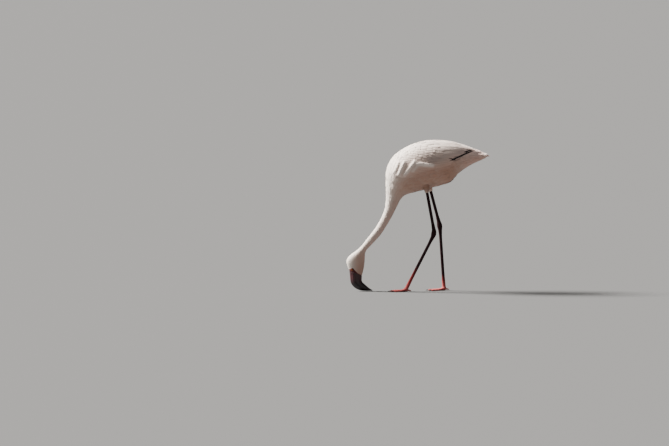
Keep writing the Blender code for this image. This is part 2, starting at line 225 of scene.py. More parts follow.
def swell(shape, amount):
    """Moves a shape's surface outwards."""
    shape.normal_update()
    for vertex in shape.verts:
        vertex.co += vertex.normal * amount


def place_object(name, data):
    """An object in the scene."""
    made = bpy.data.objects.new(name, data)
    bpy.context.scene.collection.objects.link(made)
    return made


def applied(made):
    """The plain mesh that an object's modifiers give."""
    bpy.context.view_layer.update()
    depsgraph = bpy.context.evaluated_depsgraph_get()
    return bpy.data.meshes.new_from_object(made.evaluated_get(depsgraph), depsgraph=depsgraph)


def add_piece(name, mesh, slot, material, *replaced):
    """A finished piece that rides on the bird's one body."""
    if material.name not in [m.name for m in mesh.materials if m]:
        mesh.materials.clear()
        mesh.materials.append(material)
    mesh.name = name
    piece = place_object(name, mesh)
    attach(piece, "root")
    if replaced:
        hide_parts(*replaced)


# ---------------------------------------------------------------- materials
def feed(tree, value, socket):
    """Joins a socket to another, or sets it to a plain value."""
    if isinstance(value, bpy.types.NodeSocket):
        tree.links.new(value, socket)
    else:
        socket.default_value = (*value, 1.0) if socket.type == "RGBA" else value


def add_node(tree, kind, inputs=(), output=0, **settings):
    """Adds a node with its settings and inputs, and gives one of its outputs."""
    made = tree.nodes.new(kind)
    for key, value in settings.items():
        setattr(made, key, value)
    for key, value in dict(inputs).items():
        feed(tree, value, made.inputs[key])
    return made.outputs[output]


class Finish:
    """A material, with short ways to add the nodes of its pattern."""

    NOISE_ROUGHNESS = 0.55

    def __init__(self, name, color, **inputs):
        self.material = bpy.data.materials.new(name)
        self.material.use_nodes = True
        self.material.diffuse_color = (*color, 1.0)
        self.tree = self.material.node_tree
        self.surface = self.tree.nodes["Principled BSDF"]
        self.color(color)
        for key, value in inputs.items():
            self.surface.inputs[key.replace("_", " ")].default_value = value

    def add(self, kind, inputs=(), output=0, **settings):
        return add_node(self.tree, kind, inputs, output, **settings)

    def color(self, value):
        feed(self.tree, value, self.surface.inputs["Base Color"])

    def value(self, name):
        """The value that each point of the mesh holds under a name."""
        return self.add("ShaderNodeAttribute", (), "Fac", attribute_name=name)

    def math(self, operation, one, other=0.5):
        return self.add("ShaderNodeMath", {0: one, 1: other}, operation=operation)

    def mix(self, share, one, other):
        """One colour that turns into the other by a share."""
        return self.add("ShaderNodeMix", {"Factor": share, 6: one, 7: other}, 2, data_type="RGBA")

    def ramp(self, value, low, high):
        """Turns low to high into 0 to 1."""
        return self.add("ShaderNodeMapRange", {"Value": value, "From Min": low, "From Max": high})

    def place(self, stretch):
        """The piece's own coordinates, stretched."""
        own = self.add("ShaderNodeTexCoord", (), "Object")
        return self.add("ShaderNodeMapping", {"Vector": own, "Scale": stretch})

    def noise(self, scale, detail=3.0, stretch=(1.0, 1.0, 1.0)):
        """A cloudy pattern."""
        return self.add("ShaderNodeTexNoise", {
            "Vector": self.place(stretch), "Scale": scale, "Detail": detail,
            "Roughness": self.NOISE_ROUGHNESS}, "Fac")

    def scales(self, scale, stretch):
        """How far each point is from the edge of its scale."""
        return self.add("ShaderNodeTexVoronoi", {"Vector": self.place(stretch), "Scale": scale},
                        "Distance", feature="DISTANCE_TO_EDGE")

    def bump(self, height, distance, strength=1.0):
        """Relief of this many metres."""
        relief = self.add("ShaderNodeBump", {"Strength": strength, "Distance": distance,
                                             "Height": height})
        feed(self.tree, relief, self.surface.inputs["Normal"])


def plumage_color(finish):
    """White feathers with pink, with tan that is part stained plumage and part painted shade, and with
    grey that is partly painted shade, where the points say so; shared by skin and coat.
    """
    color = finish.mix(finish.value("pink"), WHITE, PINK)
    color = finish.mix(finish.value("stain_and_shade"), color, TAN)
    return finish.mix(finish.value("shade"), color, SHADE_GREY)


def plumage_finish(name, barbs=0.0):
    """Feathers, darker at their roots; with a spacing of barbs they show these and a shaft."""
    finish = Finish(name, WHITE, Roughness=0.72, Specular_IOR_Level=0.25, Sheen_Weight=0.2,
                    Sheen_Roughness=0.5)
    vane = finish.add("ShaderNodeUVMap", uv_map="vane")
    sideways, along = (finish.add("ShaderNodeSeparateXYZ", {0: vane}, output)
                       for output in ("X", "Y"))
    across = finish.math("ABSOLUTE", finish.math("SUBTRACT", sideways, 0.5))
    base = finish.ramp(along, .75, .15)
    color = finish.mix(finish.math("MULTIPLY", base, .22), plumage_color(finish), FEATHER_BASE)
    color = finish.mix(finish.math("MULTIPLY", finish.noise(60), .16), color, WORN_WHITE)
    if barbs:
        run = finish.math("SUBTRACT", along, finish.math("MULTIPLY", across, 0.55))
        run = finish.math("MULTIPLY", run, finish.value("size"))
        waves = finish.math("SINE", finish.math("MULTIPLY", run, 2 * math.pi / barbs))
        shaft = finish.ramp(across, .030, .012)
        color = finish.mix(finish.math("MULTIPLY", shaft, .40), color, SHAFT_TAN)
        finish.bump(finish.math("ADD", finish.math("MULTIPLY", waves, .22), shaft), 0.00018, 0.40)
    finish.color(color)
    return finish.material


def quill_finish():
    """The black webs of the flight feathers."""
    finish = Finish("flight_black", QUILL_BLACK, Roughness=0.6, Specular_IOR_Level=0.2)
    finish.color(finish.mix(finish.noise(260), QUILL_BLACK, QUILL_WORN))
    finish.bump(finish.noise(900, 2.0, (1.0, 1.0, 0.2)), 0.0001, 0.4)
    return finish.material


def skin_finish():
    """Skin under the feathers, of their colour, and the bare maroon skin of the face."""
    finish = Finish("skin", WHITE, Roughness=0.7, Specular_IOR_Level=0.25)
    face = finish.mix(finish.noise(340, 4.0), MAROON, FACE_RED)
    finish.color(finish.mix(finish.value("bare"), plumage_color(finish), face))
    finish.bump(finish.noise(900), 0.0003, 0.5)
    return finish.material


def eye_finish():
    """A wet eye: black pupil, amber iris with fine rays, and a dark rim."""
    finish = Finish("eye", EYE_DARK, Roughness=0.08, Coat_Weight=0.3, Coat_Roughness=0.02,
                    Specular_IOR_Level=0.35)
    off = finish.value("off_axis")
    iris = finish.mix(finish.noise(1500, 2.0), IRIS_BROWN, IRIS_AMBER)
    iris = finish.mix(finish.ramp(off, IRIS_RADIUS * .72, IRIS_RADIUS), iris, IRIS_EDGE)
    iris = finish.mix(finish.ramp(off, IRIS_RADIUS, IRIS_RADIUS * 1.06), iris, EYE_RIM)
    pupil = finish.ramp(off, PUPIL_RADIUS, PUPIL_RADIUS * 1.12)
    finish.color(finish.mix(pupil, PUPIL_BLACK, iris))
    return finish.material


def lid_finish():
    """The bare maroon skin of the lids."""
    finish = Finish("lids", MAROON, Roughness=0.5, Specular_IOR_Level=0.4)
    finish.color(finish.mix(finish.noise(500), MAROON, LID_RED))
    finish.bump(finish.noise(2200, 2.0), 0.00012, 0.6)
    return finish.material


def bill_finish():
    """Horn: maroon at the base, black over the bend and tip."""
    finish = Finish("bill_horn", BLACK_HORN, Roughness=0.34, Specular_IOR_Level=0.5,
                    Coat_Weight=0.15, Coat_Roughness=0.3)
    mottled = finish.mix(finish.noise(220, 4.0), HORN_MAROON, HORN_BROWN)
    finish.color(finish.mix(finish.value("tip"), mottled, BLACK_HORN))
    finish.bump(finish.noise(420, 4.0), 0.0004, 0.35)
    return finish.material


def claw_finish():
    """Black horn with fine grooves along each claw."""
    finish = Finish("claw_horn", CLAW_HORN, Roughness=0.3, Specular_IOR_Level=0.5)
    finish.bump(finish.noise(1500, 3.0, (1, 1, 3)), 0.0001, 0.4)
    return finish.material


def leg_finish():
    """Scaly red leg skin, painted nearly black with shade above and red towards the foot."""
    finish = Finish("leg_skin", LEG_PAINTED_SHADE, Roughness=0.7, Specular_IOR_Level=0.06)
    # painted shade above, the leg's own red below
    color = finish.mix(finish.value("red"), LEG_PAINTED_SHADE, LEG_RED)
    color = finish.mix(finish.value("foot"), color, FOOT_RED)
    crack = finish.ramp(finish.scales(620, (1.0, 1.0, 0.62)), 0.0, 0.08)
    mottled = finish.mix(finish.noise(120), color, finish.mix(.05, color, FOOT_RED))
    finish.color(finish.mix(crack, finish.mix(.4, color, LEG_CRACK), mottled))
    finish.bump(crack, 0.00025, 0.6)
    return finish.material


# ---------------------------------------------------------------- camera, light and floor
def make_view():
    """The camera, low and far off, level with the bird's left side."""
    data = bpy.data.cameras.new("camera")
    data.lens = CAMERA_LENS
    data.sensor_width = 36.0
    data.clip_end = 500.0
    camera = place_object("camera", data)
    rise = math.radians(CAMERA_RISE)
    aim = Vector((-VIEW_AHEAD, 0.0, VIEW_HEIGHT))
    camera.location = aim + Vector((0, -math.cos(rise), math.sin(rise))) * CAMERA_DISTANCE
    camera.rotation_euler = (math.radians(90.0) - rise, 0.0, 0.0)
    bpy.context.scene.camera = camera


def make_light():
    """High soft light from behind and above, a weak fill from the front, and a pale sky."""
    world = bpy.data.worlds.new("studio")
    world.use_nodes = True
    background = world.node_tree.nodes["Background"]
    background.inputs["Color"].default_value = (*SKY_COLOR, 1.0)
    background.inputs["Strength"].default_value = SKY_STRENGTH
    bpy.context.scene.world = world
    for name, (turn, strength, softness, color) in LAMPS.items():
        data = bpy.data.lights.new(name, "SUN")
        data.energy = strength
        data.angle = math.radians(softness)
        data.color = color
        place_object(name, data).rotation_euler = [math.radians(angle) for angle in turn]


def make_floor():
    """A wide grey floor under the feet."""
    shape = bmesh.new()
    bmesh.ops.create_grid(shape, x_segments=1, y_segments=1, size=FLOOR_REACH)
    mesh = shape_mesh("floor", shape)
    finish = Finish("floor", FLOOR_GREY, Roughness=0.85, Specular_IOR_Level=0.1)
    mesh.materials.append(finish.material)
    place_object("floor", mesh)


# ---------------------------------------------------------------- the body's surface
ON_MIDDLE = 2e-5                    # points this near the middle plane lie on it
OFF_MIDDLE = 1e-3
SAME_PLACE = 3e-5
WING_LOW, WING_HIGH = (np.array(corner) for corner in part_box("wing_left"))

# folds over the wing's bend: from and to, each as shares of the wing's length and height; width; rise
WING_FOLDS = (((.088, .58), (.040, .84), .0048, .0034), ((.150, .56), (.082, .92), .0052, .0046),
              ((.268, .54), (.148, .90), .0060, .0052), ((.305, .60), (.238, .80), .0052, .0038),
              ((.285, .60), (.475, .63), .0062, .0052))
FOLD_RISE = 0.0045                  # a fold this high keeps its feathers white: a painted highlight that takes pink, tan and painted shade off its ridge
FOLD_MIDDLE = 0.45                  # where along its line a fold is highest
FOLD_REACH = 0.62                   # how far it runs both ways from there, as a share of the line
WING_EDGE = 0.0004                  # where the wing stands off less than this, it has no folds


def ring_sections(node):
    """Each ring of a body node: its point on the back's line, on the belly's, and half width."""
    points = cad_points(node)
    middle = points[np.abs(points[:, 1]) < ON_MIDDLE]
    flank = points[points[:, 1] > OFF_MIDDLE]
    sections = []
    for k, one in enumerate(middle):
        for other in middle[k + 1:]:
            centre = (one + other) / 2
            away = np.hypot(flank[:, 0] - centre[0], flank[:, 2] - centre[2])
            if away.min() < SAME_PLACE:
                sections.append((one, other, flank[away < SAME_PLACE, 1].max()))
    return sections


def wing_shares(x, z):
    """A side view's x and z as shares of the folded wing's length and of its height, downwards."""
    return ((np.asarray(x) - WING_LOW[0]) / (WING_HIGH[0] - WING_LOW[0]),
            (WING_HIGH[2] - np.asarray(z)) / (WING_HIGH[2] - WING_LOW[2]))


class Body:
    """The outer surface of the feathered body, as a grid over distance and angle."""

    RING_SPACING = 0.002            # rings closer than this in the CAD are one
    HEAD_STEP = 0.0009
    BODY_STEP = 0.0021
    COLUMNS = 144
    MAP_EDGE = 0.01                 # the unwrapped body keeps this clear of the map's edges
    SIDE_MIDDLE = 65                # the angle in the middle of what shows from one side
    SIDE_REACH = 60                 # how far round from there shows

    def __init__(self):
        chain = self.ring_chain()
        one = np.array([ring[1] for ring in chain])
        other = np.array([ring[2] for ring in chain])
        self.centre = (one + other) / 2
        ahead = np.gradient(self.centre, axis=0)
        half = (one - other) / 2
        flip = np.sign(-ahead[:, 2] * half[:, 0] + ahead[:, 0] * half[:, 2])
        self.half = half * flip[:, None]
        self.width = np.array([ring[3] for ring in chain])
        steps = np.linalg.norm(np.diff(self.centre, axis=0), axis=1)
        self.along = np.concatenate(([0.0], np.cumsum(steps)))
        self.length = self.along[-1]
        self.span = {}
        for node in BODY_NODES:
            inside = [s for s, ring in zip(self.along, chain) if ring[0] == node]
            self.span[node] = (min(inside), max(inside))
        self.make_grid()

    def ring_chain(self):
        """The rings of the body's nodes in order, from the bill's base to the tail."""
        rings = [(node, *section) for node in BODY_NODES for section in ring_sections(node)]
        low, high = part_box("bill_upper")
        here = np.array((low + high) / 2)
        chain = []
        while rings:
            away = [np.linalg.norm((one + other) / 2 - here) for _, one, other, _ in rings]
            found = rings.pop(int(np.argmin(away)))
            here = (found[1] + found[2]) / 2
            before = (chain[-1][1] + chain[-1][2]) / 2 if chain else math.inf
            if np.linalg.norm(here - before) > self.RING_SPACING:
                chain.append(found)
        return chain

    def curve(self, values, s):
        """The values at distances s, along a smooth curve through the rings'."""
        slope = np.gradient(values, self.along, axis=0)
        i = np.clip(np.searchsorted(self.along, s) - 1, 0, len(self.along) - 2)
        step = self.along[i + 1] - self.along[i]
        t = (s - self.along[i]) / step
        if values.ndim > 1:
            t, step = t[:, None], step[:, None]
        return ((1 + 2 * t) * (1 - t) ** 2 * values[i] + t * (1 - t) ** 2 * step * slope[i]
                + t * t * (3 - 2 * t) * values[i + 1] + t * t * (t - 1) * step * slope[i + 1])

    def make_grid(self):
        """The grid's places, its outward directions and its steps along and round the body."""
        head_end = self.span["head"][1]
        self.s = np.concatenate((np.arange(0.0, head_end, self.HEAD_STEP),
                                 np.arange(head_end, self.length, self.BODY_STEP), [self.length]))
        self.angle = np.linspace(-180.0, 180.0, self.COLUMNS + 1)[:-1]
        centre = self.curve(self.centre, self.s)[:, None, :]
        half = self.curve(self.half, self.s)[:, None, :]
        side = np.zeros((len(self.s), 1, 3))
        side[:, 0, 1] = self.curve(self.width, self.s)
        turn = np.radians(self.angle)[None, :, None]
        bare = centre + half * np.cos(turn) + side * np.sin(turn)
        self.wing = self.wing_height(centre, bare)
        outward = unit(bare - centre)
        self.place = bare + outward * self.wing[:, :, None]
        self.fold = self.folds()
        self.place += outward * self.fold[:, :, None]
        self.ring_centre = centre[:, 0, :]
        self.step_along = np.gradient(self.place, self.s, axis=0)
        wrapped = np.concatenate((self.place[:, -1:], self.place, self.place[:, :1]), axis=1)
        self.step_round = (wrapped[:, 2:] - wrapped[:, :-2]) / (2 * 360.0 / self.COLUMNS)
        normal = unit(np.cross(self.step_round, self.step_along))
        facing = np.sign((normal * outward).sum(axis=2, keepdims=True))
        self.normal = normal * np.where(facing == 0, 1.0, facing)
        self.girth = np.linalg.norm(self.step_round, axis=2).mean(axis=1) * 360.0

    def wing_height(self, centre, bare):
        """How far the folded wings stand off the body, softened where they end."""
        corners, faces = [], []
        for node in WING_NODES:
            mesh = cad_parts[node].data
            start = len(corners)
            corners += [vertex.co.copy() for vertex in mesh.vertices]
            faces += [[start + k for k in face.vertices] for face in mesh.polygons]
        shells = BVHTree.FromPolygons(corners, faces)
        reach = 0.3
        height = np.zeros(bare.shape[:2])
        first = np.searchsorted(self.s, self.span["trunk"][0])
        for i in range(first, len(self.s)):
            for j in range(self.COLUMNS):
                out = bare[i, j] - centre[i, 0]
                size = np.linalg.norm(out)
                out = Vector(out / size)
                hit = shells.ray_cast(Vector(centre[i, 0]) + out * reach, -out, reach - size)
                if hit[0] is not None:
                    height[i, j] = max(reach - hit[3] - size, 0.0)
        for _ in range(2):
            height[1:-1] = (height[:-2] + 2 * height[1:-1] + height[2:]) / 4
            height = (np.roll(height, 1, 1) + 2 * height + np.roll(height, -1, 1)) / 4
        return height

    def folds(self):
        """The soft folds that the small feathers make over the bend of each wing."""
        size_x, size_z = WING_HIGH[0] - WING_LOW[0], WING_HIGH[2] - WING_LOW[2]
        f, g = wing_shares(self.place[:, :, 0], self.place[:, :, 2])
        height = np.zeros(f.shape)
        for start, end, width, rise in WING_FOLDS:
            run = np.array(end) - start
            t = ((f - start[0]) * run[0] + (g - start[1]) * run[1]) / (run @ run)
            on_line = np.clip(t, 0, 1)
            away = np.hypot((f - (start[0] + run[0] * on_line)) * size_x,
                            (g - (start[1] + run[1] * on_line)) * size_z)
            end_on = ((t - FOLD_MIDDLE) / FOLD_REACH) ** 6
            height += (rise * np.exp(-(away / width) ** 2 - end_on)) ** 4
        return height ** .25 * (self.wing > WING_EDGE)

    def look_up(self, field, s, angle):
        """A grid field's values at places on the body."""
        s, angle = np.broadcast_arrays(np.asarray(s, float), np.asarray(angle, float))
        row = np.interp(s, self.s, np.arange(len(self.s)))
        i = np.clip(row.astype(int), 0, len(self.s) - 2)
        column = np.mod((angle + 180.0) / 360.0 * self.COLUMNS, self.COLUMNS)
        j = column.astype(int) % self.COLUMNS
        k = (j + 1) % self.COLUMNS
        up, on = row - i, column - np.floor(column)
        if field.ndim > 2:
            up, on = up[..., None], on[..., None]
        return ((1 - up) * ((1 - on) * field[i, j] + on * field[i, k])
                + up * ((1 - on) * field[i + 1, j] + on * field[i + 1, k]))

    def map_place(self, s, angle):
        """Where a place lies on the unwrapped body."""
        room = 1 - 2 * self.MAP_EDGE
        return self.MAP_EDGE + np.stack((room * np.mod(angle + 180.0, 360.0) / 360.0,
                                         room * np.clip(s / self.length, 0, 1)), axis=-1)

    def surface(self, s, angle):
        """Points on the surface and the directions out of it; past the tail they run straight on."""
        past = np.clip(s - self.length, 0, None)[..., None]
        place = self.look_up(self.place, s, angle)
        return (place + past * self.look_up(self.step_along, s, angle),
                unit(self.look_up(self.normal, s, angle)))

    def moves(self, s, angle, direction):
        """The change of distance and of angle for each metre gone in a direction."""
        along = self.look_up(self.step_along, s, angle)
        around = self.look_up(self.step_round, s, angle)
        aa, rr = (along * along).sum(-1), (around * around).sum(-1)
        ar = (along * around).sum(-1)
        da, dr = (direction * along).sum(-1), (direction * around).sum(-1)
        size = np.maximum(aa * rr - ar * ar, TINY)
        return (da * rr - dr * ar) / size, (dr * aa - da * ar) / size

    def find(self, x, z, side):
        """The places on one side of the trunk and lower neck that show at x and z from there."""
        rows = self.s > self.span["neck_lower"][0]
        shown = np.abs(self.angle * side - self.SIDE_MIDDLE) < self.SIDE_REACH
        flat = self.place[rows][:, shown].reshape(-1, 3)
        away = (flat[:, 0] - x[:, None]) ** 2 + (flat[:, 2] - z[:, None]) ** 2
        row, column = np.divmod(away.argmin(axis=1), shown.sum())
        s, angle = self.s[rows][row], self.angle[shown][column]
        for _ in range(3):
            place, normal = self.surface(s, angle)
            miss = np.stack((x - place[:, 0], 0 * s, z - place[:, 2]), axis=1)
            ds, dangle = self.moves(s, angle, flattened(miss, normal))
            s, angle = s + ds, angle + dangle
        return s, angle

    def nearest(self, points, step=2, at_once=2000):
        """The distance and the angle of the surface's grid point nearest to each point."""
        grid = self.place[::step, ::step].reshape(-1, 3)
        found = np.empty(len(points), int)
        for start in range(0, len(points), at_once):
            part = points[start:start + at_once]
            away = ((part[:, None, :] - grid[None]) ** 2).sum(axis=2)
            found[start:start + at_once] = away.argmin(axis=1)
        row, column = np.divmod(found, len(self.angle[::step]))
        return self.s[::step][row], self.angle[::step][column]


BODY = Body()
HEAD_END = BODY.span["head"][1]
TRUNK_END = BODY.span["trunk"][1]
CULMEN_BASE = BODY.centre[0] + BODY.half[0]
CHIN_BASE = BODY.centre[0] - BODY.half[0]
EYE_LOW, EYE_HIGH = (np.array(corner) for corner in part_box("eye_left"))
EYE_RADIUS = (EYE_HIGH[0] - EYE_LOW[0]) / 2
EYE_CENTRE = (EYE_LOW + EYE_HIGH) / 2        # the left eye's; the right one's mirrors it

# ---------------------------------------------------------------- the plumage's colours, painted shade and highlights, and the coat's depth
# the bare face's edge: shares of the bill's depth, down from its top, and how far back it runs
FACE_EDGE = ((0, .0033), (.11, .0113), (.2, .0110), (.48, .0051), (.66, .0016), (1, -.0003))
FACE_BLUR = 0.0009
HOLLOW_SHADE = 0.58                 # painted shade: how grey the wing is painted in the hollow over its folds
HOLLOW_F, HOLLOW_G = 0.46, 0.47     # the hollow's middle, as shares of the wing's length and height
HOLLOW_LONG, HOLLOW_HIGH = 0.17, 0.13
HOLLOW_SLOPE = 0.3
UNDER_FROM = 38                     # degrees from the back where the underside's tan, part stained plumage and part painted shade, starts
UNDER_OVER = 78                     # degrees over which it grows
UNDER_PINK = 0.14
FACE_LINE_SHADE = 0.3               # the grey line round the bare face
# values at distances along the body, and the depth of the coat
STAIN_AND_SHADE_ALONG = ((0, .80), (.06, .66), (.12, .48), (.26, .62), (.33, .85), (.50, .90), (.60, .60))
PINK_ALONG = ((0, .05), (.08, .08), (.2, .14), (.30, .05), (.42, .05), (.56, .12), (.66, .30))
SHADE_ALONG = ((0, .05), (.06, .05), (.15, .14), (.27, .12), (.33, .03), (.60, .05))
DEPTH_ALONG = ((0, .0011), (HEAD_END, .0014), (.12, .0018), (.25, .0024), (.33, .0032),
               (.40, .0036), (.55, .0034), (TRUNK_END, .0028), (BODY.length, .0014))


def stops(value, *pairs):
    """A value read from a short table of steps."""
    return np.interp(value, [pair[0] for pair in pairs], [pair[1] for pair in pairs])


def bareness(place):
    """One on the bare skin of the face and nothing on the feathers, with a soft edge."""
    across = CHIN_BASE - CULMEN_BASE
    depth = np.linalg.norm(across)
    across = across / depth
    behind = np.array((across[2], 0.0, -across[0]))
    behind *= np.sign((behind * (BODY.centre[3] - CULMEN_BASE)).sum())
    off = place - CULMEN_BASE
    edge = stops((off * across).sum(-1) / depth, *FACE_EDGE)
    return np.clip((edge - (off * behind).sum(-1)) / FACE_BLUR + 0.5, 0, 1)


def markings_and_shade(s, angle, place):
    """How pink, how tan (stained, and with painted shade underneath) and how grey (partly painted
    shade) the plumage is at places on the body; raised folds get a painted highlight.
    """
    under = np.clip((np.abs((angle + 180) % 360 - 180) - UNDER_FROM) / UNDER_OVER, 0, 1)
    under = under * under * (3 - 2 * under)
    # the underside turns tan: partly stained plumage, partly painted shade
    stain_and_shade = under * stops(s, *STAIN_AND_SHADE_ALONG)
    pink = stops(s, *PINK_ALONG) + UNDER_PINK * under
    # fold: raised folds lose pink, tan and the hollow's grey, a painted highlight on their ridges
    fold = np.clip(BODY.look_up(BODY.fold, s, angle) / FOLD_RISE, 0, 1)
    f, g = wing_shares(place[..., 0], place[..., 2])
    below = g - HOLLOW_G + HOLLOW_SLOPE * (f - HOLLOW_F)
    hollow = np.exp(-((f - HOLLOW_F) / HOLLOW_LONG) ** 2 - (below / HOLLOW_HIGH) ** 2)
    # painted shade in the hollow over the wing's folds, kept off the raised folds
    shade = stops(s, *SHADE_ALONG) + HOLLOW_SHADE * hollow * (1 - fold)
    face_line = np.clip(1 - np.abs(bareness(place) - .5) * 2, 0, 1)
    shade = shade + FACE_LINE_SHADE * face_line * (s < HEAD_END)
    return {"pink": pink * (1 - .8 * fold), "stain_and_shade": stain_and_shade * (1 - .9 * fold), "shade": shade}


def coat_depth(s, place):
    """How deep the feathers are over the skin."""
    return stops(s, *DEPTH_ALONG) * (1 - bareness(place))


# ---------------------------------------------------------------- skin
SOCKET = 0.0044
SOCKET_DEPTH = 0.0008
BILL_HOLD = 0.002                   # how far the skin runs on inside the bill's base
TAIL_FLESH = 0.022                  # the fleshy tail ends this far before the feathers' tips
THIGH_SINK = 0.012                  # how far a thigh's top is drawn in towards the body
THIGH_SKIN = (0.0032, 0.016)        # how deep the skin lies in the thigh, and how far up it runs on
THIGH_ROOTS = (0.0026, 0.004)       # the same for the roots of its feathers


def shrunk(ring, share):
    """A ring of points drawn in towards its middle."""
    return ring.mean(0) + (ring - ring.mean(0)) * share


def thigh_rings(side_name, inset, rise, sides=40):
    """Rings down a feathered thigh, drawn in by a depth and run on upwards into the body."""
    points = cad_points("thigh_" + side_name)
    shank = cad_points("shank_" + side_name)
    shank = shank[shank[:, 2].argsort()]
    axis = unit(shank[-8:].mean(0) - shank[8:24].mean(0))
    middle = points[points[:, 2].argsort()][:16].mean(0)
    height = (points - middle) @ axis
    radial = np.linalg.norm(points - middle - height[:, None] * axis, axis=1)
    across = unit(np.cross(axis, (0, 1, 0)))
    other = np.cross(axis, across)
    turn = np.linspace(0, 2 * np.pi, sides + 1)[:-1]
    circle = np.cos(turn)[:, None] * across + np.sin(turn)[:, None] * other
    steps = np.linspace(height.min(), height.max(), 24)
    radii = np.array([radial[np.argsort(np.abs(height - h))[:12]].max() for h in steps])
    radii = np.maximum.accumulate(radii)
    radii = np.convolve(np.pad(radii, 2, mode="edge"), np.ones(5) / 5, mode="valid")
    inward = np.array((0.0, -np.sign(middle[1]) * THIGH_SINK, 0.0))
    rings = []
    for h, radius in zip(steps, radii):
        fade = min((h - steps[0]) / .015 + .3, 1.0)
        sunk = max((h - steps[0]) / (steps[-1] - steps[0]) * 1.6 - .6, 0.0)
        rings.append(middle + axis * h + inward * sunk + (radius - inset * fade) * circle)
    top = rings[-1]
    return np.array(rings + [shrunk(top, .9) + axis * rise / 2, shrunk(top, .6) + axis * rise])


def skin_rings():
    """The skin's rings from the bill's base to the tail, sunk in round the eyes."""
    last = np.searchsorted(BODY.s, BODY.length - TAIL_FLESH)
    depth = coat_depth(BODY.s[:last, None], BODY.place[:last])
    rings = BODY.place[:last] - BODY.normal[:last] * depth[:, :, None]
    for _, side in SIDES:
        offset = rings - EYE_CENTRE * (1, -side, 1)
        from_axis = np.hypot(offset[:, :, 0], offset[:, :, 2])
        inside = (from_axis < SOCKET) & (rings[:, :, 1] * side > 0.002)
        ball = np.sqrt(np.clip((EYE_RADIUS - SOCKET_DEPTH) ** 2 - from_axis ** 2, 1e-8, None))
        rings[:, :, 1] = np.where(inside, side * (abs(EYE_CENTRE[1]) + ball), rings[:, :, 1])
    ahead = unit(BODY.ring_centre[0] - BODY.ring_centre[3])
    front = [shrunk(rings[0], share) + ahead * BILL_HOLD * step
             for share, step in ((.55, 1.0), (.86, .8), (.95, .4))]
    back = [shrunk(rings[-1], share) for share in (.7, .3)]
    return np.concatenate((np.array(front), rings, np.array(back)))


def make_skin():
    """One skin over the body and the thighs, lying inside the coat."""
    skin = place_object("skin", closed_tube(skin_rings()))
    limbs = []
    for name, _ in SIDES:
        limbs.append(place_object("limb", closed_tube(thigh_rings(name, *THIGH_SKIN))))
        joined = skin.modifiers.new("limb", "BOOLEAN")
        joined.operation, joined.solver, joined.object = "UNION", "EXACT", limbs[-1]
    mesh = applied(skin)
    for made in (*limbs, skin):
        bpy.data.objects.remove(made)
    places = mesh_points(mesh)
    s, angle = BODY.nearest(places)
    hold(mesh, **markings_and_shade(s, angle, places), bare=bareness(places) * (s < HEAD_END * .6))
    mesh.shade_smooth()
    add_piece("skin", mesh, "plumage", skin_finish(), *BODY_NODES, *WING_NODES, *THIGH_NODES)


# ---------------------------------------------------------------- eyes and lids
IRIS_RADIUS = 0.0031
PUPIL_RADIUS = 0.00125
CORNEA_RISE = 0.0004
# a lid's section: share of the way from the inner margin to the outer edge, height over what it
# lies on, and whether that is the ball (0), the skin (1) or between them
LID_PROFILE = ((0.0, -.00060, 0), (0.0, .00025, 0), (.14, .00055, 0), (.34, .00060, .5),
               (.62, .00045, 1), (.85, .00012, 1), (1.0, -.00045, 1), (.5, -.00160, 1))
LID_STEPS = 72
LID_INNER, LID_OUTER = 0.0039, 0.0060    # radii of the open eye and of the lid's outer edge
LID_DROOP = 0.00035                 # how far the lid hangs over the ball from above
INNER_LONGER = 0.0001               # how much longer than high these two lines are, each way
OUTER_LONGER = 0.0004
BESIDE_HEAD = 0.05                  # out here is clear of the head


def make_eyes():
    """Both eyeballs, each a ball with a clear bulge over the iris."""
    finish = eye_finish()
    for name, side in SIDES:
        shape = bmesh.new()
        bmesh.ops.create_uvsphere(shape, u_segments=64, v_segments=48, radius=EYE_RADIUS)
        off = []
        for vertex in shape.verts:
            x, y, z = vertex.co
            from_axis = math.hypot(x, y)
            rise = CORNEA_RISE * max(1 - (from_axis / IRIS_RADIUS) ** 2, 0) if z > 0 else 0.0
            vertex.co = Vector((x, side * (z + rise), y)) + Vector(EYE_CENTRE * (1, -side, 1))
            off.append(from_axis if z > 0 else EYE_RADIUS * 2)
        bmesh.ops.recalc_face_normals(shape, faces=shape.faces)
        mesh = shape_mesh("eye", shape)
        hold(mesh, off_axis=off)
        mesh.shade_smooth()
        add_piece("eyeball_" + name, mesh, "eye", finish, "eye_" + name)


def lid_section(head, centre, side, turn):
    """The points of a lid's section at one turn round the eye."""
    level = abs(math.cos(turn))
    inner = LID_INNER - LID_DROOP * max(math.sin(turn), 0) + INNER_LONGER * level
    outer = LID_OUTER + OUTER_LONGER * level
    section = []
    for share, height, on_skin in LID_PROFILE:
        radius = inner + (outer - inner) * share
        x, z = centre[0] + radius * math.cos(turn), centre[2] + radius * math.sin(turn)
        hit = head.ray_cast(Vector((x, side * BESIDE_HEAD, z)), Vector((0, -side, 0)))[0]
        skin_y = abs(hit.y) if hit else 0.0
        ball_y = abs(centre[1]) + math.sqrt(max(EYE_RADIUS ** 2 - radius ** 2, 1e-9))
        section.append((x, side * (ball_y * (1 - on_skin) + skin_y * on_skin + height), z))
    return section


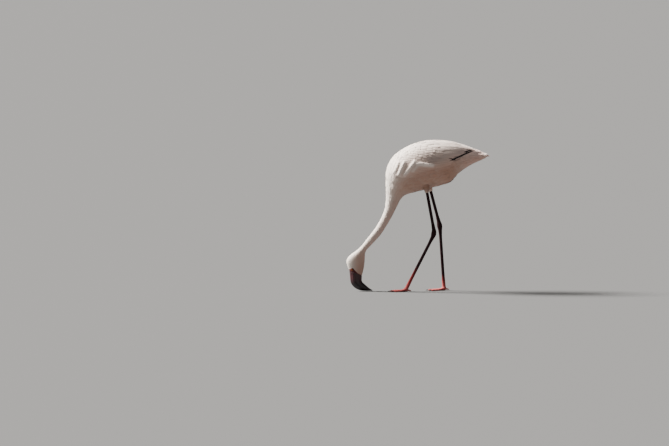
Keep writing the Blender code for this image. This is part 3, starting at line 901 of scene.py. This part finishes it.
def make_lids():
    """A soft lid all round each eye, from the skin of the face down on to the ball."""
    grid = BODY.place[BODY.s < HEAD_END]
    head = BVHTree.FromPolygons(grid.reshape(-1, 3).tolist(), ring_faces(*grid.shape[:2]).tolist())
    finish = lid_finish()
    turns = np.linspace(0, 2 * np.pi, LID_STEPS + 1)[:-1]
    for name, side in SIDES:
        centre = EYE_CENTRE * (1, -side, 1)
        loops = np.array([lid_section(head, centre, side, turn) for turn in turns])
        mesh = quad_mesh("lid", loops.reshape(-1, 3), ring_faces(*loops.shape[:2], closed=True))
        face_outwards(mesh)
        mesh.shade_smooth()
        add_piece("eyelid_" + name, mesh, "face_skin", finish)


# ---------------------------------------------------------------- bill and claws
NOSTRIL_AHEAD = 0.0125              # the nostril's middle, ahead of the bill's base
NOSTRIL_UP = 0.30                   # and up from the base's middle, as a share of its height
NOSTRIL_LONG = 0.0042
NOSTRIL_HIGH = 0.0008
NOSTRIL_DEPTH = 0.0011
BILL_HIGH = 0.036                   # the bill's height at the nostrils
BILL_MIDDLE = 0.004                 # this near the middle plane the bill has no nostril
BLACK_FROM, BLACK_OVER = 0.018, 0.022    # where horn starts to turn black, and over how far
CLAW_SWELL = 0.00015


def rounded(nodes, levels, swelling=0.0):
    """The CAD nodes' own corners joined by smooth curved faces."""
    shape = merged_copy(*nodes)
    bmesh.ops.join_triangles(shape, faces=shape.faces, angle_face_threshold=math.radians(35),
                             angle_shape_threshold=math.radians(50))
    swell(shape, swelling)
    mesh = shape_mesh("rounded", shape)
    piece = place_object("rounded", mesh)
    smooth = piece.modifiers.new("smooth", "SUBSURF")
    smooth.levels = smooth.render_levels = levels
    smooth.use_limit_surface = False
    wanted = mesh_points(mesh)
    for _ in range(5):
        made = applied(piece)
        miss = wanted - mesh_points(made)[:len(wanted)]
        move_points(mesh, mesh_points(mesh) + miss * .8)
    bpy.data.objects.remove(piece)
    made.shade_smooth()
    return made


def make_bill():
    """Both halves of the bill, with the slit of the nostril on each side of the upper one."""
    finish = bill_finish()
    along = unit(BODY.ring_centre[0] - BODY.ring_centre[6])
    rise = CULMEN_BASE - CHIN_BASE
    for half in ("upper", "lower"):
        mesh = rounded(["bill_" + half], 4)
        points = mesh_points(mesh)
        off = points - BODY.ring_centre[0]
        ahead = off @ along
        if half == "upper":
            up = (off @ unit(rise)) / np.linalg.norm(rise)
            slit = np.exp(-((ahead - NOSTRIL_AHEAD) / NOSTRIL_LONG) ** 4
                          - ((up - NOSTRIL_UP) * BILL_HIGH / NOSTRIL_HIGH) ** 2)
            slit *= np.abs(points[:, 1]) > BILL_MIDDLE
            move_points(mesh, points - mesh_normals(mesh) * slit[:, None] * NOSTRIL_DEPTH)
        hold(mesh, tip=np.clip((ahead - BLACK_FROM) / BLACK_OVER, 0, 1))
        add_piece("bill_horn_" + half, mesh, "bill", finish, "bill_" + half)


def make_claws():
    """The black claws, three on each foot."""
    finish = claw_finish()
    for name, _ in SIDES:
        nodes = [f"claw_{toe}_{name}" for toe in ("inner", "middle", "outer")]
        add_piece("claws_" + name, rounded(nodes, 2, CLAW_SWELL), "claw", finish, *nodes)


# ---------------------------------------------------------------- legs
LEG_VOXEL = 0.0008
LEG_SWELL = 0.00025
SCUTE = 0.0042
SCUTE_DEPTH = 0.00022
SCUTE_RISE, SCUTE_DROP = 0.8, 0.2   # shares of a scute's height over which it rises and drops
SCUTES_FROM, SCUTES_FADE = 0.02, 0.01    # the height where the scutes start, and over how much
STUMP_LONG, STUMP_UP = 0.026, 0.005
STUMP_SHARE = 0.92                  # the stump's thickness as a share of the shank's
RED_FROM = {"left": (.085, .030), "right": (.055, .020)}    # heights where the leg's painted shade gives way to its own red
FOOT_RED_FROM = (.035, .006)
ROUNDING = (.55, -.57)              # steps towards the neighbours and back


def smoothed(mesh, rounds):
    """A mesh's points drawn towards their neighbours and back, which rounds it at the same size."""
    edges = np.empty(len(mesh.edges) * 2, np.int32)
    mesh.edges.foreach_get("vertices", edges)
    one, other = edges.reshape(-1, 2).T
    points = mesh_points(mesh)
    count = np.maximum(np.bincount(edges, minlength=len(points))[:, None], 1)
    for step in ROUNDING * rounds:
        total = np.stack([np.bincount(one, axis[other], minlength=len(points))
                          + np.bincount(other, axis[one], minlength=len(points))
                          for axis in points.T], axis=1)
        points = points + step * (total / count - points)
    return points


def add_stump(shape, name):
    """A round end on top of a shank, so that the leg runs on inside the thigh."""
    points = cad_points("shank_" + name)
    top = points[points[:, 2] > points[:, 2].max() - .004]
    low = points[points[:, 2] < points[:, 2].min() + .03]
    axis = Vector(unit(top.mean(0) - low.mean(0)))
    radius = np.linalg.norm(top - top.mean(0), axis=1).mean() * STUMP_SHARE
    made = bmesh.ops.create_cone(shape, cap_ends=True, segments=20, radius1=radius,
                                 radius2=radius, depth=STUMP_LONG)
    bmesh.ops.transform(shape, verts=made["verts"],
                        matrix=axis.to_track_quat("Z", "Y").to_matrix().to_4x4())
    bmesh.ops.translate(shape, verts=made["verts"], vec=Vector(top.mean(0)) + axis * STUMP_UP)


def leg_mesh(name):
    """A bare leg from inside the thigh down to the webbed foot, in one skin."""
    shape = bmesh.new()
    for node in LEG_NODES:
        part = merged_copy(node + name)
        swell(part, LEG_SWELL)
        shape.from_mesh(shape_mesh("part", part))
    add_stump(shape, name)
    leg = place_object("leg", shape_mesh("leg", shape))
    whole = leg.modifiers.new("whole", "REMESH")
    whole.mode, whole.voxel_size = "VOXEL", LEG_VOXEL
    mesh = applied(leg)
    bpy.data.objects.remove(leg)
    move_points(mesh, smoothed(mesh, 7))
    points, normals = mesh_points(mesh), mesh_normals(mesh)
    level = points[:, 2]
    front = np.clip(-normals[:, 0] * 1.6 + .2, 0, 1)
    front = front * np.clip((level - SCUTES_FROM) / SCUTES_FADE, 0, 1)
    wave = (level / SCUTE) % 1.0
    ridge = np.clip(wave / SCUTE_RISE, 0, 1) * np.clip((1 - wave) / SCUTE_DROP, 0, 1)
    points = points + normals * ((ridge - .5) * SCUTE_DEPTH * front)[:, None]
    points[:, 2] = np.maximum(points[:, 2], 0.0)
    move_points(mesh, points)
    red, foot = (stops(level, (low, 1.0), (high, 0.0)) for high, low in (RED_FROM[name], FOOT_RED_FROM))
    hold(mesh, red=red, foot=foot)
    mesh.shade_smooth()
    return mesh


def make_legs():
    """Both legs, each over the nodes from the shank down to the foot."""
    finish = leg_finish()
    for name, _ in SIDES:
        nodes = [node + name for node in LEG_NODES]
        add_piece("leg_" + name, leg_mesh(name), "leg_skin", finish, *nodes)


# ---------------------------------------------------------------- feathers on roots, by nodes
SHARP_RIM = math.radians(55)
TIP_CROWDING = 1.6                  # how much closer a vane's rows stand towards its tip
VANE_BODY = 0.05
UNDER_EDGE = 0.04                   # a vane's underside keeps this clear of its map's edges
ROOT_WIDTH = 0.3                    # widths here are shares of the widest, and places of the length
TIP_WIDTH = 0.05
WIDEST_FROM = 0.42
ROUND_FROM = 0.45
LENGTH_UNEVENNESS = 0.15
MAP_PATCH = 0.003                   # one feather's share of the bake's map


def vane_outline(t, round_from, root):
    """A vane's half width, as a share of its widest, at shares of its length."""
    rise = root + (1 - root) * np.sin(np.clip(t / WIDEST_FROM, 0, 1) * np.pi / 2)
    past = np.clip((t - round_from) / (1 - round_from), 0, 1)
    return rise * np.maximum(np.sqrt(1 - past ** 2), TIP_WIDTH)


def under_map(places):
    """Where a vane's underside lies on its own map."""
    return UNDER_EDGE + (1 - 2 * UNDER_EDGE) * places


def vane_mesh(name, width, curl, ridge, rounds):
    """A closed vane one metre long, flat below and ridged above, that curves down to its tip."""
    rows = 2 * rounds + 3
    along = 1 - (1 - np.linspace(0, 1, rows)) ** TIP_CROWDING
    half = width / 2 * vane_outline(along, ROUND_FROM, ROOT_WIDTH)
    points, maps = [], []
    for t, h, drop in zip(along, half, -curl * along ** 2):
        for across, up in ((-1, -.3), (0, 1), (1, -.3), (0, -1)):
            rise = ridge * width * (1 - t * .6) if up > 0 else VANE_BODY * width * up * .2
            points.append((across * h, t, drop + rise))
            maps.append((.5 + across * .5 * h / (width / 2), t if up > -1 else under_map(t)))
    end = 4 * (rows - 1)
    quads = [*ring_faces(rows, 4), (3, 2, 1, 0), (end, end + 1, end + 2, end + 3)]
    mesh = quad_mesh(name, np.array(points), np.array(quads), {"vane": np.array(maps)})
    face_outwards(mesh)
    mesh.shade_smooth()
    mesh.set_sharp_from_angle(angle=SHARP_RIM)
    return mesh


def feather_tract():
    """A node group that sets a vane on every point, lying as the points say."""
    tree = bpy.data.node_groups.new("feather_tract", "GeometryNodeTree")
    sockets = {}
    for name, kind in (("Roots", "Geometry"), ("Vane", "Object"), ("Finish", "Material"),
                       ("Seed", "Int"), ("Sway", "Float"), ("Unevenness", "Float"),
                       ("Patch", "Float")):
        made = tree.interface.new_socket(name, in_out="INPUT", socket_type="NodeSocket" + kind)
        sockets[name] = made.identifier
    tree.interface.new_socket("Feathers", in_out="OUTPUT", socket_type="NodeSocketGeometry")
    given = tree.nodes.new("NodeGroupInput").outputs

    def add(kind, inputs, output=0, **settings):
        return add_node(tree, kind, inputs, output, **settings)

    def math_of(operation, one, other):
        return add("ShaderNodeMath", {0: one, 1: other}, operation=operation)

    def vector_math(operation, one, other, second=1):
        return add("ShaderNodeVectorMath", {0: one, second: other}, operation=operation)

    def named(name, kind="FLOAT_VECTOR"):
        """What each point holds under a name."""
        return add("GeometryNodeInputNamedAttribute", {"Name": name}, "Attribute", data_type=kind)

    def chance(amount, step):
        """A random value within plus or minus an amount."""
        low = math_of("MULTIPLY", amount, -1.0)
        seed = math_of("ADD", given["Seed"], float(step))
        return add("FunctionNodeRandomValue", {2: low, 3: amount, "Seed": seed}, 1,
                   data_type="FLOAT")

    aligned = add("FunctionNodeAxesToRotation", {
        "Primary Axis": named("lie"), "Secondary Axis": named("facing")},
        primary_axis="Y", secondary_axis="Z")
    sway = given["Sway"]
    turned = add("ShaderNodeCombineXYZ", {"X": chance(math_of("MULTIPLY", sway, .35), 1),
                                          "Y": chance(sway, 2), "Z": chance(sway, 3)})
    rotation = add("FunctionNodeRotateRotation", {
        "Rotation": aligned, "Rotate By": add("FunctionNodeEulerToRotation", {0: turned})},
        rotation_space="LOCAL")
    change = math_of("ADD", chance(given["Unevenness"], 4), 1.0)
    placed = add("GeometryNodeInstanceOnPoints", {
        "Points": given["Roots"],
        "Instance": add("GeometryNodeObjectInfo", {"Object": given["Vane"]}, "Geometry"),
        "Rotation": rotation, "Scale": math_of("MULTIPLY", change, named("size", "FLOAT"))})
    real = add("GeometryNodeRealizeInstances", {"Geometry": placed})
    off_middle = vector_math("SUBTRACT", named("vane"), (.5, .5, 0.0))
    small = vector_math("SCALE", off_middle, given["Patch"], "Scale")
    mapped = add("GeometryNodeStoreNamedAttribute", {
        "Geometry": real, "Name": "OFBake",
        "Value": vector_math("ADD", small, named("map_place"))},
        data_type="FLOAT2", domain="CORNER")
    finished = add("GeometryNodeSetMaterial", {"Geometry": mapped, "Material": given["Finish"]})
    tree.links.new(finished, tree.nodes.new("NodeGroupOutput").inputs[0])
    return tree, sockets


TRACT, TRACT_SOCKETS = feather_tract()
CHANCE = np.random.default_rng(20)


def uneven(count, amount):
    """Values round one."""
    return 1 + CHANCE.normal(0, amount, count)


def grow(name, roots, vane, material, seed, sway=.12):
    """Feathers on roots as one plain mesh; the roots give place, lie, facing, size and colour."""
    mesh = point_mesh("roots", roots["place"])
    hold(mesh, **{key: values for key, values in roots.items() if key != "place"})
    shape, holder = place_object("vane", vane), place_object(name, mesh)
    modifier = holder.modifiers.new("tract", "NODES")
    modifier.node_group = TRACT
    for key, value in (("Vane", shape), ("Finish", material), ("Seed", seed), ("Sway", sway),
                       ("Unevenness", LENGTH_UNEVENNESS), ("Patch", MAP_PATCH)):
        modifier[TRACT_SOCKETS[key]] = value
    grown = applied(holder)
    bpy.data.objects.remove(holder)
    bpy.data.objects.remove(shape)
    add_piece(name, grown, "plumage", material)


STAGGER = 0.16                      # how far roots stray, as a share of their spacing
ROW_CLOSENESS = 0.87
FALL_ALLOWED = 0.10                 # where the body falls away faster, feathers are shorter
SHORTENING = 1.6                    # how much shorter, for each metre of fall
SHORTEST = 0.55
STEEPEST = 0.6                      # how far a small feather may lean out of the skin
SHADE_SPREAD = 0.035


def scatter(start, end, *gaps):
    """Places on the body in staggered rows, with a spacing read from a table along it."""
    places_s, places_angle = [], []
    s, row = start, 0
    while s < end:
        gap = stops(s, *gaps)
        count = max(int(round(np.interp(s, BODY.s, BODY.girth) / gap)), 6)
        angle = (np.arange(count) + .5 * (row % 2)) / count * 360 - 180
        places_angle.append(angle + CHANCE.normal(0, STAGGER, count) * 360 / count)
        places_s.append(s + CHANCE.normal(0, STAGGER, count) * gap)
        s += gap * ROW_CLOSENESS
        row += 1
    s, angle = np.concatenate(places_s), np.concatenate(places_angle)
    return np.clip(s, 0, BODY.length), (angle + 180) % 360 - 180


def flat_place(s, angle):
    """A place on the unwrapped body, as points hold it."""
    return np.concatenate((BODY.map_place(s, angle), np.zeros((len(s), 1))), axis=1)


def body_roots(s, angle, length, share=.85):
    """Roots in the skin, with vanes that lean out so that their tips lie on the outer surface."""
    place, normal = BODY.surface(s, angle)
    fall = ((place - BODY.surface(s + length, angle)[0]) * normal).sum(1) / length
    length = length * np.clip(1 - SHORTENING * (fall - FALL_ALLOWED), SHORTEST, 1)
    depth = coat_depth(s, place) * share
    along = unit(flattened(unit(BODY.look_up(BODY.step_along, s, angle)), normal))
    lean = np.clip(depth / length, 0, STEEPEST)[:, None]
    upright = np.sqrt(1 - lean ** 2)
    roots = {"place": place - normal * depth[:, None], "lie": unit(along * upright + normal * lean),
             "facing": unit(normal * upright - along * lean), "map_place": flat_place(s, angle),
             "size": length, **markings_and_shade(s, angle, place)}
    roots["shade"] = np.clip(roots["shade"] + CHANCE.normal(0, SHADE_SPREAD, len(s)), 0, 1)
    return roots


# ---------------------------------------------------------------- feathers laid one by one
VANE_THICKNESS = 0.00022
ROOT_THICKNESS = 0.0009
SHAFT_RISE = 0.00035
ARCH = 0.11                         # how far a vane's edges droop, as a share of its half width
BARB_SPACING = 0.0006


def tract(s, angle, aim, length, width, vary=0.0, twist=(), grey=0.0, **more):
    """Feathers as a table of equal columns: where each is rooted, how it lies and how it looks.

    Their lengths vary, they are twisted round a mean with a spread, and some are a little grey.
    """
    count = len(s)
    table = {"aim": np.broadcast_to(aim, (count, 3))}
    each = {"s": s, "angle": angle, "width": width, "follow": 1.0, "low": -.0012, "high": .0009,
            "roll": 0.0, "point": .5, "root": .35, "curl": 0.0, "fray": .03, "pink": 0.0,
            "shade": 0.0, "rim": 0.0, **more}
    each["length"] = length * uneven(count, vary) if vary else length
    if twist:
        each["roll"] = CHANCE.normal(*twist, count)
    if grey:
        each["shade"] = np.abs(CHANCE.normal(0, grey, count))
    for key, value in each.items():
        table[key] = np.broadcast_to(value, (count,)).astype(float)
    return table


def join_tracts(*tables):
    """Several tables of feathers as one."""
    return {key: np.concatenate([table[key] for table in tables]) for key in tables[0]}


def shaft_paths(table, t):
    """Where shafts run: their distances, angles and directions at shares t of their length."""
    s, angle, path = table["s"], table["angle"], []
    for step in np.diff(t, append=t[-1]):
        normal = BODY.surface(s, angle)[1]
        flow = unit(BODY.look_up(BODY.step_along, s, angle))
        share = table["follow"][:, None]
        direction = unit(flow * share + table["aim"] * (1 - share))
        direction = unit(flattened(direction, normal))
        path.append((s, angle, direction))
        ds, dangle = BODY.moves(s, angle, direction)
        gone = step * table["length"]
        s, angle = s + ds * gone, angle + dangle * gone
    return [np.stack(part, axis=1) for part in zip(*path)]


def thin_faces(rows, columns):
    """Faces of a closed thin vane, whose upper side's points come before its lower side's."""
    grid = np.arange(rows * columns).reshape(rows, columns)
    upper = np.stack((grid[:-1, :-1], grid[:-1, 1:], grid[1:, 1:], grid[1:, :-1]), -1).reshape(-1, 4)
    rim = np.concatenate((grid[0], grid[1:, -1], grid[-1, -2::-1], grid[-2:0:-1, 0]))
    after = np.roll(rim, -1)
    sides = np.stack((after, rim, rim + grid.size, after + grid.size), -1)
    return np.concatenate((upper, upper[:, ::-1] + grid.size, sides))


def lay(name, table, rows, columns, material, slot="plumage"):
    """Long feathers as thin closed vanes that follow the body's surface all along."""
    count, cells = len(table["s"]), rows * columns
    each = {key: value[:, None, None] for key, value in table.items() if key != "aim"}
    t = 1 - (1 - np.linspace(0, 1, rows)) ** TIP_CROWDING
    s, angle, direction = shaft_paths(table, t)
    sideways = np.cross(BODY.surface(s, angle)[1], direction)
    t, across = t[:, None], np.linspace(-1, 1, columns)
    half = vane_outline(t, each["point"], each["root"]) * (each["width"] / 2)
    offset = half * across
    ragged = CHANCE.normal(0, 1, (count, 1, columns)) * (each["fray"] * each["length"]) * t ** 4
    s, angle = (start[..., None] + side[..., None] * offset + ahead[..., None] * ragged
                for start, side, ahead in zip((s, angle), BODY.moves(s, angle, sideways),
                                              BODY.moves(s, angle, direction)))
    place, normal = BODY.surface(s, angle)

    # the vane's two sides
    lift = each["low"] + (each["high"] - each["low"]) * t ** .8 + each["curl"] * t ** 3
    lift = lift + each["roll"] * offset - ARCH * np.abs(offset) * np.abs(across)
    shaft = np.exp(-(across / .12) ** 2) * (1 - t) ** .6 * SHAFT_RISE
    thick = VANE_THICKNESS + (ROOT_THICKNESS - VANE_THICKNESS) * (1 - t) ** 2 * (1 - across ** 2)
    top = place + normal * (lift + shaft)[..., None]
    bottom = place + normal * (lift - thick)[..., None]
    faces = thin_faces(rows, columns)
    turn = np.cross(top[0, 0, 1] - top[0, 0, 0], top[0, 1, 0] - top[0, 0, 0])
    if turn @ normal[0, 0, 0] < 0:
        faces = faces[:, ::-1]
    quads = (faces + (np.arange(count) * cells * 2)[:, None, None]).reshape(-1, 4)

    # its maps, colours and painted shade
    vane = np.stack(np.broadcast_arrays(.5 + .5 * across * half[0] / half[0].max(), t), -1)
    vane = vane.reshape(1, 1, cells, 2)
    vane = np.broadcast_to(np.concatenate((vane, under_map(vane)), axis=1), (count, 2, cells, 2))
    spot = BODY.map_place(table["s"], table["angle"])[:, None, None, :]
    maps = {"vane": vane.reshape(-1, 2), "OFBake": (spot + (vane - .5) * MAP_PATCH).reshape(-1, 2)}
    # rim: painted shade along each feather's edges and tip, standing for the shadow lines between
    # overlapping feathers
    edge = np.abs(across) ** 3 * .5 + t ** 4
    marks = markings_and_shade(s, angle, place)
    marks["pink"] = marks["pink"] + each["pink"] * (.6 + .8 * edge)
    marks["shade"] = marks["shade"] + each["shade"] + each["rim"] * edge
    values = {key: np.repeat(np.clip(value, 0, 1).reshape(count, 1, cells), 2, axis=1).ravel()
              for key, value in marks.items()}
    values["size"] = np.repeat(table["length"], cells * 2)
    points = np.stack((top, bottom), axis=1).reshape(-1, 3)
    mesh = quad_mesh(name, points, quads, maps, values)
    mesh.set_sharp_from_angle(angle=SHARP_RIM)
    add_piece(name, mesh, slot, material)


def backwards(down):
    """A direction to the tail, this many degrees below level."""
    down = np.radians(down)
    return np.stack((np.cos(down), 0 * down, -np.sin(down)), axis=-1)


BACKWARDS = backwards(0.0)


# ---------------------------------------------------------------- the coat
def grow_head_and_neck(tuft, finish):
    """The smallest feathers, round the bare face and down the neck."""
    s, angle = scatter(.0006, HEAD_END, (0, .00112), (HEAD_END, .00145))
    bare = bareness(BODY.surface(s, angle)[0])
    kept = bare < .85
    s, angle, bare = s[kept], angle[kept], bare[kept]
    length = stops(s, (0, .0027), (.03, .0040), (HEAD_END, .0062)) * (1 - .4 * (bare > 0))
    roots = body_roots(s, angle, length)
    fine_tuft = vane_mesh("fine_tuft", .34, .16, .03, 1)
    for name, side in SIDES:
        half = {key: values[angle * side >= 0] for key, values in roots.items()}
        grow("head_feathers_" + name, half, fine_tuft, finish, 3 + side)
    s, angle = scatter(HEAD_END, BODY.span["neck_lower"][0], (.08, .0021), (.25, .0030))
    roots = body_roots(s, angle, stops(s, (.08, .0066), (.25, .0100)))
    grow("neck_feathers", roots, tuft, finish, 4)


def grow_body(finish):
    """The body's own small feathers, under and round the wings."""
    s, angle = scatter(BODY.span["neck_lower"][0], BODY.length - .0215, (.25, .0032), (.30, .0046),
                       (.36, .0066), (.59, .0066), (.63, .0046))
    kept = BODY.look_up(BODY.wing, s, angle) < .0012
    s, angle = s[kept], angle[kept]
    length = stops(s, (.25, .0110), (.30, .0165), (.36, .0240), (.57, .0250), (.61, .0165),
                   (BODY.length, .0125))
    length = length * (1 - .35 * stops(s, (.57, 0), (.61, 1)) * np.abs(np.sin(np.radians(angle))))
    feather = vane_mesh("feather", .46, .08, .012, 2)
    grow("body_feathers", body_roots(s, angle, length, .5), feather, finish, 5, sway=.10)


def wing_place(f, g, side):
    """A place on a folded wing: f from the bend to the tip, g from its top to its lower edge."""
    x = WING_LOW[0] + (WING_HIGH[0] - WING_LOW[0]) * f
    z = WING_HIGH[2] - (WING_HIGH[2] - WING_LOW[2]) * g
    return BODY.find(x, z, side)


def wing_rows(side, top, bottom, rows, gap):
    """Roots in rows, each running from a point near the wing's top to one near its lower edge."""
    size = (WING_HIGH - WING_LOW)[[0, 2]]
    f, g, row_share = [], [], []
    for row in range(rows):
        share = row / max(rows - 1, 1)
        one, other = (np.array(first) + np.subtract(last, first) * share
                      for first, last in (top, bottom))
        count = max(int(np.hypot(*((other - one) * size)) / gap), 2)
        q = (np.arange(count) + .5 * (row % 2)) / count
        q = np.clip(q + CHANCE.normal(0, .08, count) / count, 0, 1)
        f.append(one[0] + (other[0] - one[0]) * q + np.sin(q * np.pi) * -.012)
        g.append(one[1] + (other[1] - one[1]) * q)
        row_share.append(np.full(count, share))
    f, g, row_share = np.concatenate(f), np.concatenate(g), np.concatenate(row_share)
    return *wing_place(f, g, side), g, row_share


def wing_tract(side, rows, flow, down, length, width, high, pink, **more):
    """Feathers in rows on a folded wing.

    The last five come in pairs. The fall below level starts at the wing's top and changes towards
    its lower edge; the others start at the first row and change towards the last.
    """
    s, angle, g, row = wing_rows(side, *rows)
    length, width, high, pink = (start + change * row
                                 for start, change in (length, width, high, pink))
    return tract(s, angle, backwards(down[0] + down[1] * g), length, width, high=high, pink=pink,
                 follow=stops(s, *flow), **more)


def lay_wing(name, side, barbed, quills):
    """A folded wing: three sizes of coverts, the pink flight feathers and five black quills."""
    small = wing_tract(
        side, (((.10, .34), (.25, .20)), ((.02, .90), (.115, .97)), 7, .0068),
        ((.36, .05), (.44, .35), (.52, .9)), (14, -16), (.016, .010), (.0115, .004),
        (.0008, .0006), (.06, .05), vary=.07, low=-.0008, twist=(.02, .02), grey=.04, fray=.012)
    middle = wing_tract(
        side, (((.29, .16), (.38, .16)), ((.135, .98), (.22, .98)), 3, .0088),
        ((.36, .1), (.44, .4), (.52, .9)), (12, -18), (.036, .008), (.0138, 0),
        (.0016, .0004), (.12, 0), vary=.05, low=-.0006, twist=(.03, .02), grey=.04, point=.52,
        fray=.010)
    lay("wing_coverts_" + name, join_tracts(small, middle), 11, 7, barbed)
    large = wing_tract(
        side, (((.42, .14), (.52, .16)), ((.27, .97), (.42, .84)), 2, .0092),
        ((.40, .5), (.50, 1.0)), (6, -14), (.062, .012), (.0145, 0),
        (.0014, 0), (.12, 0), vary=.04, low=-.0005, twist=(.04, .03), grey=.04, point=.55,
        fray=.006)
    # rim: painted shadow lines along the flight feathers' edges
    flight = wing_tract(
        side, (((.40, .05), (.58, .08)), ((.42, .50), (.58, .46)), 3, .0120),
        ((0, 1.0),), (0, 0), (.116, -.020), (.0135, 0),
        (.0020, 0), (.16, .12), vary=.06, low=.0002, twist=(.03, .03), grey=.08, point=.34,
        fray=.010, rim=.35)
    lay("flight_feathers_" + name, join_tracts(large, flight), 20, 9, barbed, "flight_feather")
    s, angle = wing_place(*wing_shares((.0915, .094, .106, .118, .130),
                                       (.4450, .4315, .4360, .4410, .4520)), side)
    black = tract(s, angle, backwards(np.array((16.0, -22.0, -24.0, -24.0, -29.0))),
                  np.array((.032, .058, .066, .070, .054)), .0052, follow=.15, low=.0002,
                  high=(.0018, .0032, .0032, .0032, .0026), point=.25, fray=.004, roll=.10)
    lay("primaries_" + name, black, 20, 7, quills, "flight_feather")


def lay_scapulars(name, side, barbed):
    """The long feathers from one shoulder down over the wing's top."""
    rows, columns = 9, (10.0, 21.0, 32.0, 43.0)
    s = np.repeat(np.linspace(.365, .525, rows), len(columns))
    angle = side * (np.tile(columns, rows) + CHANCE.normal(0, 1.6, len(s)))
    s = s + CHANCE.normal(0, .004, len(s)) + .006 * (np.arange(len(s)) % 2)
    length = stops(s, (.36, .036), (.44, .066), (.53, .072)) * uneven(len(s), .09)
    # rim: painted shadow lines along the scapulars' edges; a random few are also greyer
    table = tract(s, angle, (.25, side * .55, -.75), length, .0125, follow=.86, low=-.0010,
                  high=.0013, point=.30, fray=.006, roll=CHANCE.normal(0, .025, len(s)),
                  pink=.08, shade=.02 + .25 * (CHANCE.random(len(s)) < .3), rim=.45)
    lay("scapulars_" + name, table, 16, 7, barbed)


def lay_back(barbed):
    """Short feathers between the wings."""
    s, angle = scatter(.330, .585, (0, .0085))
    kept = (np.abs(angle) < 38) | ((s < .37) & (np.abs(angle) < 66))
    table = tract(s[kept], angle[kept], BACKWARDS, .026, .0120, vary=.08, low=-.0014, high=.0007,
                  point=.45, fray=.012, twist=(0, .025), pink=.05, grey=.04)
    lay("back_feathers", table, 8, 5, barbed)


def tail_fan(count, spread, start, bow, past, short):
    """Angles from the middle, distances and lengths of feathers that fan out to a bowed edge."""
    across = np.linspace(-spread, spread, count)
    s = start + bow * across ** 2
    return np.degrees(np.arcsin(across)), s, BODY.length - s + past - short * across ** 2


def lay_tail(barbed):
    """The tail, with the soft feathers round its base."""
    angle, s, reach = tail_fan(12, .94, .596, .006, .0045, .013)
    tail = tract(s, angle, BACKWARDS, reach, .0120, low=-.0016, high=-.0002, curl=-.0048,
                 point=.60, fray=.004, pink=.30, shade=.05 + .05 * (np.arange(12) % 2))
    angle, s, reach = tail_fan(9, .92, .610, 0, .0025, .012)
    below = tract(s, 180 - angle, BACKWARDS, reach, .0130, low=-.0016, high=-.0002, curl=-.0054,
                  point=.55, fray=.004, pink=.30)
    s, angle = scatter(.560, .616, (0, .0080))
    edge = np.abs(np.sin(np.radians(angle))) ** 4
    length = .026 * uneven(len(s), .10) * (1 - .4 * edge)
    over = tract(s, angle, BACKWARDS, length, .0110 * (1 - .5 * edge), low=-.0016, high=.0003,
                 point=.40, fray=.012, twist=(0, .025), pink=.24, grey=.03)
    lay("tail_coverts", over, 8, 5, barbed)
    lay("tail_feathers", join_tracts(tail, below), 16, 7, barbed, "flight_feather")


THIGH_ROWS = 46
THIGH_SPACING = 0.0030
THIGH_STAIN_AND_SHADE = 0.45                  # how tan the thigh's lower end is, part stained plumage and part painted shade
UNDER_SURFACE = 0.005               # roots deeper in the body than this are left out


def grow_thigh(name, side, vane, finish):
    """Short feathers down a thigh, to just past its end."""
    rings = thigh_rings(name, *THIGH_ROOTS)
    axis = unit(rings[0].mean(0) - rings[-4].mean(0))
    place, lie, facing = [], [], []
    for row, level in enumerate(np.linspace(.6, len(rings) - 3, THIGH_ROWS)):
        i = min(int(level), len(rings) - 2)
        ring = rings[i] + (rings[i + 1] - rings[i]) * (level - i)
        centre = ring.mean(0)
        count = max(int(np.linalg.norm(ring[0] - centre) * 2 * np.pi / THIGH_SPACING), 8)
        turn = (np.arange(count) + .5 * (row % 2)) / count + CHANCE.normal(0, .15, count) / count
        index = (turn % 1.0) * len(ring)
        k = index.astype(int) % len(ring)
        point = ring[k] + (ring[(k + 1) % len(ring)] - ring[k]) * (index - np.floor(index))[:, None]
        outward = unit(point - centre)
        lean = stops(level, (0, .16), (8, .26), (22, .3))
        place.append(point)
        lie.append(unit(axis * (1 - lean) + outward * lean))
        facing.append(outward)
    place, lie, facing = (np.concatenate(part) for part in (place, lie, facing))
    s, angle = BODY.nearest(place)
    surface, normal = BODY.surface(s, angle)
    kept = ((place - surface) * normal).sum(1) > -UNDER_SURFACE
    place, lie, facing, s, angle = (part[kept] for part in (place, lie, facing, s, angle))
    height = (place[:, 2] - place[:, 2].min()) / np.ptp(place[:, 2])
    spot = flat_place(s, angle)
    spot[:, 1] = .4 + .15 * height
    marks = markings_and_shade(s, angle, place)
    # the thigh's lower end takes a fixed tan, part stained plumage and part painted shade
    change = marks["stain_and_shade"] - THIGH_STAIN_AND_SHADE
    marks["stain_and_shade"] = THIGH_STAIN_AND_SHADE + change * np.clip(height * 1.5, 0, 1)
    roots = {"place": place, "lie": lie, "facing": facing, "size": .0072 + .0045 * height,
             "map_place": spot, **marks}
    grow("thigh_feathers_" + name, roots, vane, finish, 8 + side)


def make_coat():
    """All the feathers, smallest on the face."""
    soft = plumage_finish("soft_feathers")
    barbed = plumage_finish("barbed_feathers", BARB_SPACING)
    quills = quill_finish()
    tuft = vane_mesh("tuft", .42, .16, .03, 1)
    grow_head_and_neck(tuft, soft)
    grow_body(barbed)
    for name, side in SIDES:
        lay_wing(name, side, barbed, quills)
    for name, side in SIDES:
        lay_scapulars(name, side, barbed)
    lay_back(barbed)
    lay_tail(barbed)
    for name, side in SIDES:
        grow_thigh(name, side, tuft, soft)


make_view()
make_light()
make_floor()
make_skin()
make_eyes()
make_lids()
make_bill()
make_claws()
make_legs()
make_coat()
